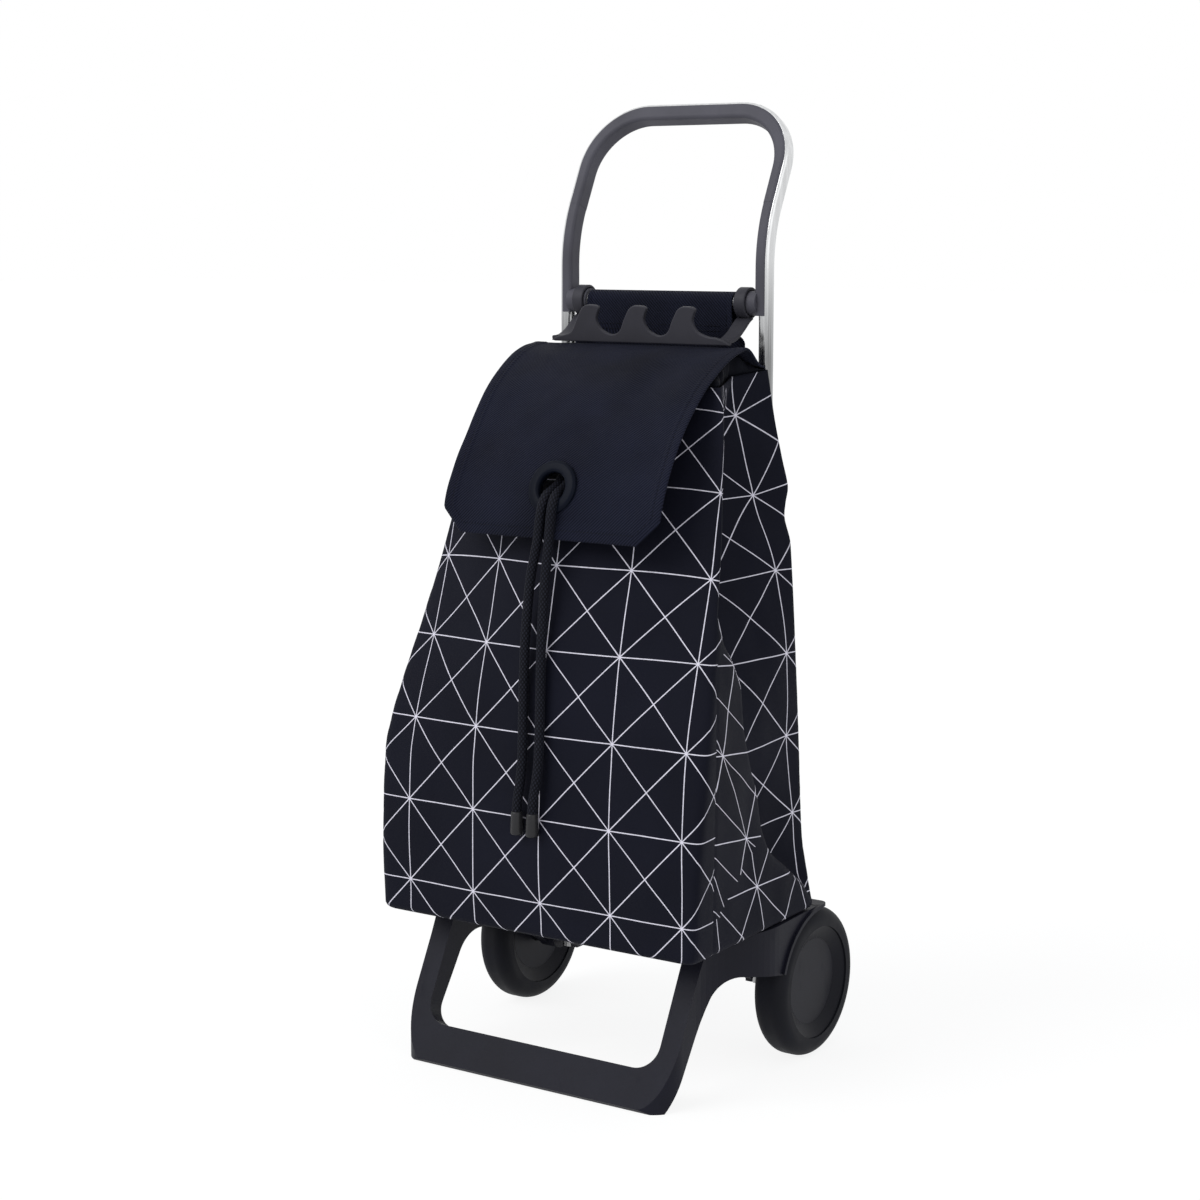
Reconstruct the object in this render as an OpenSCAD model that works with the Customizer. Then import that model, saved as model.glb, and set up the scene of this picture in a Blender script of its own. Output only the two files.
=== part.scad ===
// Folding shopping trolley: an aluminium hoop on two wheels, a moulded base whose foot
// swings up about the axle, and a soft bag that hangs from the hoop under a flap.
// Heights count from the floor. Depths count from the axle, and forwards is negative.

/* [Wheels] */
// Outer diameter of a wheel
wheel_d = 160; // [150:2:170]
// Width of a tyre
tyre_w = 38; // [35:1:40]
// Distance between a leg of the hoop and the wheel beside it
wheel_gap = 29; // [28:0.5:31]
// Radius of the rounded shoulders of a tyre
shoulder_r = 14; // [11:0.5:16]
// Diameter of the seam between tyre and rim
rim_d = 120; // [114:1:126]
// Diameter of the sunk disc in each face of a wheel
disc_d = 92; // [84:1:98]
// Depth of a disc below the side of the tyre
disc_sunk = 9; // [7:0.5:10]
// Thickness of a disc
disc_t = 2.5; // [2:0.1:3]
// Diameter of the hub of a rim
hub_d = 28; // [24:1:34]
// Outer diameter of the bush in a hub
bush_d = 16; // [14:0.5:18]
// Diameter of the steel axle
axle_d = 10; // [8:0.5:11]

/* [Frame] */
// Height of the handle above the floor
total_h = 1005; // [985:5:1030]
// Width over the outer faces of the two legs
frame_w = 262; // [256:1:266]
// Width of the profile, from its inner to its outer face
tube_w = 12; // [11:0.5:13]
// Depth of the profile, from front to rear
tube_d = 16; // [15:0.5:18]
// Wall of the profile
tube_wall = 1.8; // [1.4:0.1:2]
// Corner radius of the profile
tube_round = 4; // [3.5:0.25:4.5]
// Width of the slot along the inner face of the profile
slot_w = 6; // [5:0.5:7]
// Distance of the middle of the legs behind the axle
leg_back = 0; // [-1:0.5:1]
// Length of the legs below the axle
leg_drop = 12; // [8:1:16]
// Height at which the legs start to lean back
bend_z = 832; // [824:2:840]
// Radius of the bend that starts the lean
lean_r = 150; // [120:5:180]
// Angle of the lean of the handle
lean_a = 26; // [22:1:30]
// Corner radius of the handle, along the middle of the profile
corner_r = 68; // [60:2:80]
// Thickness of the end brackets on the legs
bracket_t = 8; // [6:0.5:9]
// Outer diameter of the eye of an end bracket
eye_d = 22; // [18:1:24]
// Length of an end bracket above the axle
bracket_rise = 42; // [36:1:50]
// Shank diameter of the bracket rivets
rivet_d = 5; // [4:0.5:5]

/* [Grip and crossbar] */
// Thickness of the grip on the inner side of the legs
grip_t = 3.5; // [2.5:0.25:4]
// Thickness of the grip under the top bar
grip_top = 7; // [6:0.25:8]
// Thickness of the grip in front of and behind the profile
grip_side = 1.6; // [1.2:0.1:2]
// Reach of the grip past the middle of the profile
grip_wrap = 3.5; // [2:0.5:4]
// Height of the crossbar
crossbar_z = 796; // [790:1:802]
// Distance of the crossbar in front of the middle of the legs
crossbar_fore = 2; // [1:0.5:3]
// Diameter of the crossbar
crossbar_d = 20; // [18:0.5:21]
// Wall of the sockets that hold the crossbar
socket_wall = 2.6; // [2:0.1:3]
// Length of the sockets, inwards from the legs
socket_l = 25.5; // [23:0.5:28]
// Length of the grip on the legs below the crossbar
grip_tail = 13; // [12:1:18]

/* [Bag hooks] */
// Thickness of the hook plate
hook_t = 4; // [3:0.5:5]
// How far the ends of the hook plate stay inside the legs
hook_clear = 5; // [4:0.5:8]
// Distance between hooks
hook_pitch = 60; // [56:1:62]
// Height of a hook
hook_h = 41; // [38:0.5:43]
// Radius of the notch beside each hook
notch_r = 17; // [15:0.5:18]
// Lean of the notches, which makes the hooks overhang
notch_tilt = 29; // [24:1:32]
// Distance of the middle notch from the middle of the plate
notch_shift = 22; // [18:1:26]
// Radius of the shoulder of a hook
hook_round = 10; // [8:0.5:11]
// Radius of the tip of a hook
hook_tip = 4; // [3:0.25:5]
// Height of the plate below the notches
plate_h = 8.5; // [7:0.5:10]
// Angle by which the plate leans
plate_tilt = 8; // [6:1:10]
// Distance of the plate in front of the crossbar
plate_out = 46; // [42:1:50]
// Distance of the lower edge of the plate below the crossbar
plate_drop = 42; // [40:0.5:43]
// Wall of the clips round the sockets
clip_t = 3.4; // [2.5:0.1:4]
// Width of a clip
clip_w = 13; // [10:0.5:14]
// Height of the arms between clips and plate
arm_h = 9; // [7:0.5:10]

/* [Base] */
// Gap between wheel and mudguard
guard_gap = 3; // [2.5:0.5:5]
// Thickness of the mudguards and the deck
guard_t = 3; // [2.5:0.25:4]
// How far the base reaches past the outer side of a wheel
base_over = 4; // [3.5:0.5:6]
// How far the edge lip stands out from the arm
lip_w = 3; // [2:0.5:4]
// Drop of the deck from rear to front
deck_drop = 10; // [6:1:12]
// Length of the deck behind the axle
deck_tail = 12; // [8:1:16]
// Distance of the front of the foot from the axle
foot_reach = 259; // [254:1:264]
// Width of the foot
foot_w = 336; // [330:1:340]
// Gap between a leg of the hoop and the arm beside it
arm_gap = 14; // [12:0.5:16]
// Height of the bar of the foot
foot_h = 40; // [34:1:44]
// Width of each front leg
leg_w = 23; // [20:0.5:25]
// Lean of the front legs
leg_lean = 26; // [24:0.5:28]
// Corner radius of the opening above the foot bar
foot_fillet = 26; // [20:1:32]
// Radius of the lower corners of the foot, seen from the front
foot_corner = 22; // [16:1:28]
// Corner radius of the front of the foot, seen from above
foot_round = 35; // [25:1:40]
// Bevel along the bottom of the foot
foot_bevel = 4; // [3:0.5:5]
// Depth of the foot on the floor
foot_depth = 13; // [12:0.5:16]
// Distance of the middle of the arch in front of the axle
arch_fore = 145; // [142:1:148]
// Radius of the arch between leg and arm
arch_r = 40; // [36:1:44]
// Height of the arch
arch_h = 119; // [115:1:122]
// Slope of the underside of the arm, down towards the wheel
arm_slope = 10; // [8:0.5:12]
// Wall of the moulding round the hollows under the arms
base_wall = 4; // [3:0.25:4.5]
// Diameter of the hinge hub on the axle
hinge_d = 34; // [30:1:38]
// Outer diameter of the hinge bushes
hinge_bush_d = 16; // [14:0.5:18]

/* [Bag] */
// How far the bag stays inside the base on each side
bag_inset = 1; // [0.5:0.5:4]
// How far the bottom edge of the front is drawn in on each side
bag_tuck = 6; // [4:0.5:10]
// Depth of the bag at its bottom edge
bag_depth = 234; // [226:1:238]
// Height of the widest place above the bottom
bag_knee = 176; // [160:2:190]
// Width of the bag at its rim
bag_top_w = 276; // [268:1:284]
// Depth of the bag at its rim
bag_top_depth = 101; // [96:1:102]
// Distance of the rim below the crossbar
bag_hang = 81; // [79:1:90]
// Thickness of the fabric with its lining
bag_wall = 3; // [2:0.25:4]
// Depth of the crease down each side
crease_d = 30; // [20:1:34]
// Bulge of the front at its middle
bag_bulge = 36; // [28:1:37]
// Thickness of the stiff board in the bottom
board_t = 3; // [2:0.25:4]
// Rise of the gathered collar above the rim
collar_h = 11; // [8:1:12]
// Half width of the mouth left by the drawstring
mouth_w = 70; // [55:1:80]
// Number of gathers round the collar
gathers = 28; // [20:2:32]
// Gap between the panel that hangs the bag and the sockets
hanger_gap = 2.5; // [2:0.5:8]
// Thickness of that panel
hanger_t = 2; // [1.5:0.1:2.2]

/* [Flap] */
// Radius of the curve of the flap
flap_r = 218; // [216:0.5:222]
// Width of the flap
flap_w = 266; // [256:2:274]
// Thickness of the flap with its hem
flap_t = 3; // [2:0.25:3.5]
// Distance of the top of the flap's curve below the crossbar
flap_hang = 40; // [39.5:0.5:44]
// Distance of the middle of that curve behind the axle
flap_back = 2; // [0:1:4]
// Distance of the fold line of the flap in front of the axle
flap_fold = 68; // [66:1:74]
// Distance of the crest of the flap in front of the axle
crest_fore = 45; // [42:1:50]
// Distance of that crest below the crossbar
crest_hang = 46.5; // [46:0.5:48]
// Distance of the rear edge of the flap below the crossbar
edge_hang = 50; // [48:0.5:54]
// Angle of the lower edge, round the curve from the horizontal
flap_end_a = 6.5; // [5:0.5:8]
// Corner cut of the lower edge
flap_cut = 24; // [16:1:30]
// Angle of the eyelet, round the curve from the horizontal
eyelet_a = 20; // [19:0.5:23]
// Outer diameter of the eyelet
eyelet_d = 59; // [54:1:62]
// Hole of the eyelet
eyelet_hole = 33; // [32:1:36]
// Outer diameter of the barrel of the eyelet
barrel_d = 41; // [39:0.5:44]
// Thickness of the flange of the eyelet
eyelet_t = 4; // [3:0.25:5]
// Thickness of the washer behind the flap
washer_t = 1.6; // [1.2:0.1:2]

/* [Cords] */
// Diameter of the drawstring
cord_d = 9; // [8:0.5:9.5]
// Diameter of the end pieces
tip_d = 13; // [11.5:0.5:14]
// Length of the end pieces
tip_l = 24; // [20:1:28]

/* [Fits] */
// Radial clearance of what turns on the axle
run_gap = 0.05; // [0.02:0.01:0.1]
// Gap between fixed pieces
fit_gap = 0.2; // [0.1:0.05:0.3]
// Gap between moving pieces, side by side
side_gap = 0.5; // [0.3:0.1:0.8]
// Gap between soft pieces and what they lie on
soft_gap = 0.4; // [0.3:0.05:0.6]

/* [Hidden] */
$fn = 72;
over = 1;
lap_step = 0.1;

// Widths, from the legs of the hoop outwards
hoop_c = (frame_w - tube_w) / 2;
leg_in = hoop_c - tube_w / 2;
leg_out = hoop_c + tube_w / 2;
track = 2 * (leg_out + wheel_gap) + tyre_w;
base_w = track + tyre_w + 2 * base_over;

// Wheels and axle
wheel_r = wheel_d / 2;
axle_z = wheel_r;
axle_r = axle_d / 2;
rim_r = rim_d / 2;
disc_r = disc_d / 2;
disc_out = tyre_w / 2 - disc_sunk;
disc_in = disc_out - disc_t;
hub_short = 2;
hub_inner = tyre_w / 2 - hub_short;
hub_outer = 2;
clip_gap = 0.5;
clip_len = 2;
axle_end = 1;
axle_l = track + 2 * (hub_outer + 2 * clip_gap + clip_len + axle_end);
washer_rim = 4;
spacer_rim = 3;
// The part stands with its origin midway between the front of the foot and the wheels' rear
axle_y = (foot_reach - wheel_r) / 2;

// Frame
leg_bottom = axle_z - leg_drop;
lean_y = leg_back + lean_r * (1 - cos(lean_a));
lean_z = bend_z + lean_r * sin(lean_a);
bar_rise = (tube_w / 2 - tube_round) * cos(lean_a) + (tube_d / 2 - tube_round) * sin(lean_a) + tube_round;
upper_l = (total_h - lean_z - bar_rise) / cos(lean_a) - corner_r;
rivet_down = 12;
rivet_z = axle_z + bracket_rise - rivet_down;
bracket_out = leg_in - fit_gap;
bracket_in = bracket_out - bracket_t;
bracket_inset = 2;
rivet_head = 1.5;
rivet_head_d = 1.8 * rivet_d;

// Grip and crossbar
crossbar_y = leg_back - crossbar_fore;
grip_d = tube_d + 2 * grip_side;
socket_d = crossbar_d + 2 * socket_wall;
socket_in = leg_in - socket_l;
socket_floor = 2;
socket_end = leg_in - grip_t - socket_floor;
grip_low = crossbar_z - grip_tail;

// Hooks
clip_r = socket_d / 2 + fit_gap;
clip_from = 2;
clip_x = socket_in + clip_from + clip_w / 2;
clip_open_a = 20;
hook_l = 2 * (leg_in - hook_clear);

// Base
base_in = leg_out + arm_gap;
base_out = base_w / 2 - lip_w;
foot_in = foot_w / 2 - leg_w;
guard_r = wheel_r + guard_gap;
deck_rear = axle_z + guard_r + guard_t;
deck_rate = deck_drop / foot_reach;
well_in = track / 2 - tyre_w / 2 - guard_gap;
spacer_l = 5.5;
hub_in = leg_out + spacer_l;
arch_y = -arch_fore;
arch_z = arch_h - arch_r;
arch_end = 90 - arm_slope;
arch_turn = 4;
arch_start = 180 - (leg_lean + arch_turn);
lip_from = 20;
arm_from = -foot_reach + 60;
flare_l = 112;
tail_round = 10;
web_front = 80;
web_low = 30;
web_toe = [-14, -9];

// Bag
bag_w = base_w - 2 * bag_inset;
bag_base_w = bag_w - 2 * bag_tuck;
bag_round = 9;
bag_clear = 6.7;
bag_rear = leg_back - tube_d / 2 - bag_clear;
bag_front = bag_rear - bag_depth;
bag_rim = crossbar_z - bag_hang;
bag_low = deck_at(bag_front) + soft_gap;
bag_h = bag_rim - bag_low;
bag_tilt = deck_rate * bag_depth;
// Half widths, depths and folds by height above the bottom
bag_levels = [0, 0.07, 0.16, 0.24, 0.32, 0.45, 0.58, 0.72, 0.84, 0.93, 1];
rear_wide = [[0, bag_w / 2], [36, bag_w / 2 - 8], [80, bag_w / 2 - 17], [bag_knee, bag_w / 2 - 20],
    [0.72 * bag_h, bag_w / 2 - 33], [bag_h, bag_top_w / 2]];
front_wide = [[0, bag_base_w / 2], [bag_knee, bag_w / 2], [0.72 * bag_h, bag_w / 2 - 26],
    [bag_h, bag_top_w / 2]];
front_out = [[0, bag_depth], [bag_knee, bag_depth - 11], [0.72 * bag_h, bag_depth - 82],
    [bag_h, bag_top_depth]];
front_bulge = [[0, 0], [bag_knee, 8], [0.72 * bag_h, bag_bulge], [bag_h, 4]];
crease_in = [[60, 0], [260, crease_d], [bag_h - 40, crease_d], [bag_h, crease_d / 3]];
crease_at = [[60, 0.75], [260, 0.42], [bag_h, 0.42]];
bag_corner = 3;

// Hanging panel and flap
hanger_w = 2 * (socket_in - hanger_gap);
hanger_in = crossbar_d / 2 + fit_gap;
hanger_out = hanger_in + hanger_t;
flap_z = crossbar_z - flap_hang - flap_r;
fold_a = acos(-(flap_fold + flap_back) / flap_r);
yoke_y = crossbar_y - hanger_out - soft_gap;
split_a = soft_gap / flap_r * 90 / PI;
barrel_reach = 5;
washer_back = 2.4;
washer_d = eyelet_d - 7;

// Cords: points chosen by hand along the middle of each strand, from the front of the bag under the
// flap, through the eyelet and down to the tip
route_left = [[-4, -161, 648], [-4, -170, 641], [-4, -178, 633], [-4, -184, 624], [-4, -194, 615],
    [-4, -206, 610], [-4, -214, 606], [-4, -220, 598], [-5, -223, 586], [-8, -224, 560], [-14, -228, 520],
    [-14, -237, 460], [-11, -245, 400], [-7, -253, 340], [-10, -257, 300], [-11, -257, 289]];
route_right = [[6, -161, 648], [6, -170, 641], [6, -178, 633], [6, -184, 624], [6, -194, 615],
    [6, -206, 610], [7, -214, 606], [8, -220, 598], [8, -223, 586], [6, -224, 560], [4, -228, 520],
    [6, -237, 460], [10, -245, 400], [13, -253, 340], [9, -257, 300], [8, -257, 289]];

function deck_at(y) = deck_rear + deck_rate * y;
function arc_points(r, a0, a1, n) = [for (i = [0:n]) let (a = a0 + (a1 - a0) * i / n) r * [cos(a), sin(a)]];
function smooth(t) = let (s = max(0, min(1, t))) s * s * (3 - 2 * s);

// Faces of a stack of closed rings of n points, counter-clockwise from above. Each end is closed
// by a fan from its first corner, which lies on no straight stretch of the outline.
function skin_faces(rings, n, first = 0) = concat(
    [for (i = [1:n - 2]) [first, (first + i) % n, (first + i + 1) % n]],
    [for (k = [0:rings - 2], i = [0:n - 1], h = [0, 1])
        let (a = k * n + i, b = k * n + (i + 1) % n)
        h == 0 ? [a, a + n, b] : [b, a + n, b + n]],
    [for (i = [1:n - 2]) let (m = (rings - 1) * n)
        [m + first, m + (first + i + 1) % n, m + (first + i) % n]]
);

// Outline of the bag at height h above its bottom, drawn in by t
function bag_ring(h, t) = let (
    wf = lookup(h, front_wide) - t,
    wr = lookup(h, rear_wide) - t,
    yr = bag_rear - t,
    yf = bag_rear - lookup(h, front_out) + t,
    r = bag_round,
    bulge = lookup(h, front_bulge),
    at = lookup(h, crease_at),
    fold = lookup(h, crease_in),
    side = function(f, d) [wf + (wr - wf) * f - d, yf + r + (yr - yf - 2 * r) * f],
    half = concat(
        [[wf / 2, yf - 0.6 * bulge]],
        [for (p = arc_points(r, -90, -10, 3)) [wf - r, yf + r] + p],
        [side(at - 0.2, 0), side(at, fold), side(at + 0.2, 0)],
        [for (p = arc_points(r, 10, 90, 3)) [wr - r, yr - r] + p]
    ),
    n = len(half)
) concat([[0, yf - bulge]], half, [[0, yr]], [for (i = [n - 1:-1:0]) [-half[i][0], half[i][1]]]);

function bag_level(f, t, lift) = let (h = f * bag_h)
    [for (p = bag_ring(h, t))
        [p[0], p[1], bag_low + h + lift + (1 - f) * bag_tilt * (p[1] - bag_front) / bag_depth]];

// Outline of the collar: from the rim of the bag in to the mouth, with gathers
function collar_ring(f, t) = let (
    n = 4 * gathers,
    depth = bag_top_depth,
    mid = bag_rear - depth / 2,
    wide = (bag_top_w / 2 - 6) * (1 - f) + mouth_w * f - t,
    deep = (depth / 2 - 3) * (1 - f) + (depth / 2 - 20) * f - t,
    wave = 1 + 2.5 * f
)
    [for (i = [0:n - 1]) let (
        a = 360 * i / n,
        g = wave * cos(360 * i / 4 + 45),
        c = cos(a),
        s = sin(a),
        k = pow(pow(abs(c), 3) + pow(abs(s), 3), -1 / 3)
    )
        [(wide + g) * k * c, mid + (deep + g) * k * s]];

function at_height(ring, z) = [for (p = ring) [p[0], p[1], z]];
function flat_list(lists) = [for (l = lists) for (p = l) p];

// Rings of a round cord along a route
function unit(v) = v / norm(v);
function cord_ring(p, dir, r, n) = let (
    side = unit(cross(dir, [0, 1, 0.3])),
    up = cross(side, dir)
)
    [for (i = [0:n - 1]) p + r * (cos(360 * i / n) * side + sin(360 * i / n) * up)];
function cord_points(route, r, n) = let (m = len(route) - 1)
    [for (i = [0:m]) each cord_ring(route[i],
        unit(route[min(i + 1, m)] - route[max(i - 1, 0)]), r, n)];
function between(route, steps) = let (m = len(route) - 1)
    [for (k = [0:m * steps]) let (
        i = min(floor(k / steps), m - 1),
        t = k / steps - i,
        p0 = route[max(i - 1, 0)],
        p1 = route[i],
        p2 = route[i + 1],
        p3 = route[min(i + 2, m)]
    )
        0.5 * (2 * p1 + (p2 - p0) * t + (2 * p0 - 5 * p1 + 4 * p2 - p3) * t * t
            + (3 * p1 - p0 - 3 * p2 + p3) * t * t * t)];

// Shared shapes
module on_axle() {
    translate([0, axle_y, 0]) children();
}

module handed(side) {
    mirror([side < 0 ? 1 : 0, 0, 0]) children();
}

module both_sides() {
    for (side = [-1, 1]) handed(side) children();
}

// A cylinder along X, from x0 to x1, through a point given by depth and height
module x_rod(x0, x1, y, z, d) {
    translate([x0, y, z]) rotate([0, 90, 0]) cylinder(d = d, h = x1 - x0);
}

// A profile drawn in depth and height, drawn out along X
module x_plate(x0, x1) {
    translate([x0, 0, 0]) rotate([90, 0, 90]) linear_extrude(x1 - x0) children();
}

module round_rect(w, d, r) {
    square([w - 2 * r, d], center = true);
    square([w, d - 2 * r], center = true);
    for (sx = [-1, 1], sy = [-1, 1]) translate([sx * (w / 2 - r), sy * (d / 2 - r)]) circle(r);
}

// Runs of the hoop. The section is drawn with X outwards and Y to the rear.
module leg_run(z0) {
    translate([hoop_c, leg_back, z0]) linear_extrude(bend_z - z0) children();
}

module lean_run() {
    translate([hoop_c, leg_back + lean_r, bend_z]) rotate([90, 0, -90])
        rotate_extrude(angle = lean_a) translate([lean_r, 0]) rotate(90) mirror([1, 0]) children();
}

module lean_frame() {
    translate([0, lean_y, lean_z]) rotate([-lean_a, 0, 0]) children();
}

// The straight part laps into the bend below it. The drop lowers corner and top bar.
module corner_run(drop = 0) {
    lap = 2;
    lean_frame() {
        translate([hoop_c, 0, -lap]) linear_extrude(upper_l - drop + lap) children();
        translate([hoop_c - corner_r, 0, upper_l - drop]) rotate([90, 0, 0])
            rotate_extrude(angle = 90) translate([corner_r, 0]) children();
    }
}

// One half of the top bar, a little past the middle so that the two halves join
module top_run(drop = 0) {
    lap = 5;
    lean_frame() translate([hoop_c - corner_r, 0, upper_l - drop + corner_r]) rotate([0, -90, 0])
        linear_extrude(hoop_c - corner_r + lap) children();
}

module tube_outline(gap) {
    round_rect(tube_w + 2 * gap, tube_d + 2 * gap, tube_round + gap);
}

// Sections of profile and grip. The step makes the upper part a trace thicker where it laps the bend.
module tube_section(step = 0) {
    difference() {
        tube_outline(step);
        tube_outline(-tube_wall - step);
        translate([-tube_w / 2, 0]) square([2 * tube_wall + over, slot_w - 2 * step], center = true);
    }
}

module grip_outline(step) {
    reach = tube_w / 2 + grip_t + step;
    translate([(grip_wrap - reach) / 2, 0])
        round_rect(grip_wrap + reach, grip_d + 2 * step, tube_round + step);
}

module grip_section(step = 0) {
    key = slot_w - 2 * (fit_gap + lap_step - step);
    difference() {
        grip_outline(step);
        tube_outline(fit_gap + lap_step - step);
    }
    translate([-tube_w / 2 - grip_t / 2, -key / 2])
        square([grip_t / 2 + 2 * tube_wall + step, key]);
}

// The inner part of the grip, which swells round the corners to the top bar
module grip_swell() {
    drop = grip_top - grip_t;
    difference() {
        union() {
            corner_run(drop) swell_section();
            top_run(drop) swell_section();
        }
        corner_run() tube_outline(fit_gap);
        top_run() tube_outline(fit_gap);
    }
}

module swell_section() {
    intersection() {
        grip_outline(2 * lap_step);
        translate([-2 * tube_w, -tube_d]) square([2 * tube_w, 2 * tube_d]);
    }
}

module frame_tube() {
    color("silver") on_axle() difference() {
        both_sides() {
            leg_run(leg_bottom) tube_section();
            lean_run() tube_section();
            corner_run() tube_section(lap_step);
            top_run() tube_section(lap_step);
        }
        x_rod(-frame_w, frame_w, 0, axle_z, axle_d + 2 * fit_gap);
        x_rod(-frame_w, frame_w, leg_back, rivet_z, rivet_d + 2 * run_gap);
    }
}

// The grip covers the inner side and most of the front and rear of the hoop
module handle_grip() {
    color("dimgray") on_axle() difference() {
        both_sides() {
            leg_run(grip_low) grip_section();
            lean_run() grip_section();
            corner_run() grip_section(lap_step);
            top_run() grip_section(lap_step);
            grip_swell();
            x_rod(socket_in, leg_in - fit_gap, crossbar_y, crossbar_z, socket_d);
        }
        both_sides() x_rod(socket_in - over, socket_end, crossbar_y, crossbar_z, crossbar_d + 2 * fit_gap);
    }
}

module crossbar() {
    color("gray") on_axle() difference() {
        x_rod(-socket_end + fit_gap, socket_end - fit_gap, crossbar_y, crossbar_z, crossbar_d);
        x_rod(-leg_in, leg_in, crossbar_y, crossbar_z, crossbar_d - 2 * tube_wall);
    }
}

// Outline of the hook plate, with X along the trolley and Y up from the lower edge. Each hook stands
// between two notches, whose sides lean over to one side.
function notch_x(i) = i * hook_pitch + notch_shift;
function notch_side(i, h, s) =
    notch_x(i) + (h - plate_h - notch_r) * tan(notch_tilt) + s * notch_r / cos(notch_tilt);

module notch(i) {
    steps = 24;
    top = 2 * hook_h;
    translate([notch_x(i), plate_h + notch_r]) rotate(-notch_tilt)
        polygon(concat([[notch_r, top], [-notch_r, top]], arc_points(notch_r, 180, 360, steps)));
}

module hook(i) {
    mid = plate_h + notch_r;
    steps = 4;
    shoulder_h = hook_h - hook_round;
    shoulder = [notch_side(i - 1, shoulder_h, 1) + hook_round / cos(notch_tilt), shoulder_h];
    tip = [notch_side(i, hook_h - hook_tip, -1) - hook_tip / cos(notch_tilt), hook_h - hook_tip];
    polygon(concat(
        [[notch_x(i), 0], [notch_side(i, mid, -1) + over, mid]],
        [for (p = arc_points(hook_tip, -notch_tilt + 10, 90, steps)) tip + p],
        [for (p = arc_points(hook_round, 90, 180 - notch_tilt - 10, steps)) shoulder + p],
        [[notch_side(i - 1, mid, 1) - over, mid], [notch_x(i - 1), 0]]
    ));
}

module hook_outline() {
    difference() {
        union() {
            polygon([[-hook_l / 2, 0], [hook_l / 2, 0],
                [notch_x(1), plate_h + over], [notch_x(-2), plate_h + over]]);
            for (i = [-1:1]) hook(i);
        }
        for (i = [-2:1]) notch(i);
    }
}

module bag_hook_rack() {
    plate_y = crossbar_y - plate_out;
    plate_z = crossbar_z - plate_drop;
    arm_a = atan2(plate_drop - clip_r - clip_t, plate_out);
    arm_l = plate_out / cos(arm_a);
    mouth = clip_r - clip_t;
    color("#3a3a3c") on_axle() {
        translate([0, plate_y, plate_z]) rotate([90 + plate_tilt, 0, 0])
            linear_extrude(hook_t) hook_outline();
        both_sides() x_plate(clip_x - clip_w / 2, clip_x + clip_w / 2) difference() {
            union() {
                translate([crossbar_y, crossbar_z]) circle(clip_r + clip_t);
                translate([crossbar_y, crossbar_z - clip_r - clip_t]) rotate(180 + arm_a)
                    translate([0, -arm_h]) square([arm_l, arm_h]);
            }
            translate([crossbar_y, crossbar_z]) circle(clip_r);
            translate([crossbar_y, crossbar_z]) rotate(180 + clip_open_a)
                square([clip_r + 2 * clip_t, mouth]);
        }
    }
}

module leg_bracket(side) {
    half = tube_d / 2 - bracket_inset;
    tongue = tube_w - tube_wall - over;
    color("#2b2b2d") on_axle() handed(side) difference() {
        union() {
            x_plate(bracket_in, bracket_out) {
                translate([0, axle_z]) circle(d = eye_d);
                translate([leg_back - half, axle_z - leg_drop])
                    square([2 * half, leg_drop + bracket_rise - tube_d / 2]);
                translate([leg_back, axle_z + bracket_rise - tube_d / 2]) circle(half);
            }
            translate([bracket_out - over, leg_back - slot_w / 2 + fit_gap, leg_bottom])
                cube([tongue + over, slot_w - 2 * fit_gap, leg_drop + bracket_rise - 2 * bracket_inset]);
        }
        x_rod(0, frame_w, 0, axle_z, axle_d + 2 * run_gap);
        x_rod(0, frame_w, leg_back, rivet_z, rivet_d + 2 * run_gap);
    }
}

module bracket_rivets() {
    color("silver") on_axle() both_sides() {
        x_rod(bracket_in - rivet_head, leg_out + rivet_head, leg_back, rivet_z, rivet_d);
        x_rod(bracket_in - rivet_head, bracket_in, leg_back, rivet_z, rivet_head_d);
        x_rod(leg_out, leg_out + rivet_head, leg_back, rivet_z, rivet_head_d);
    }
}

module axle() {
    color("lightgray") on_axle() x_rod(-axle_l / 2, axle_l / 2, 0, axle_z, axle_d);
}

// A ring on the axle, on both sides
module axle_ring(x0, x1, d) {
    on_axle() both_sides() difference() {
        x_rod(x0, x1, 0, axle_z, d);
        x_rod(x0 - over, x1 + over, 0, axle_z, axle_d + 2 * run_gap);
    }
}

module axle_clips() {
    x0 = track / 2 + hub_outer + 2 * clip_gap;
    color("silver") axle_ring(x0, x0 + clip_len, axle_d + 2 * washer_rim);
}

module axle_spacers() {
    color("black") axle_ring(leg_out + fit_gap, hub_in - side_gap, axle_d + 2 * spacer_rim);
}

module wheel_washers() {
    x1 = track / 2 - hub_inner - 2 * clip_gap;
    color("silver") axle_ring(well_in + side_gap, x1, axle_d + 2 * washer_rim);
}

// Outline of leg, foot and arm, seen from the side: depth across, height up
module base_side() {
    front_top = -foot_reach + (deck_rear - foot_bevel) * tan(leg_lean);
    from = [arch_y, arch_z] + arch_r * [cos(arch_start), sin(arch_start)];
    to = [arch_y, arch_z] + arch_r * [cos(arch_end), sin(arch_end)];
    heel = -foot_reach + foot_depth;
    difference() {
        polygon([[-foot_reach + foot_bevel, 0], [-foot_reach, foot_bevel],
            [front_top, deck_at(front_top)], [0, deck_rear], [0, 0]]);
        translate([arch_y, arch_z]) circle(arch_r);
        polygon([[heel, -over], from, to, [over, to[1] - (over - to[0]) * tan(arm_slope)], [over, -over]]);
    }
}

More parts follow.
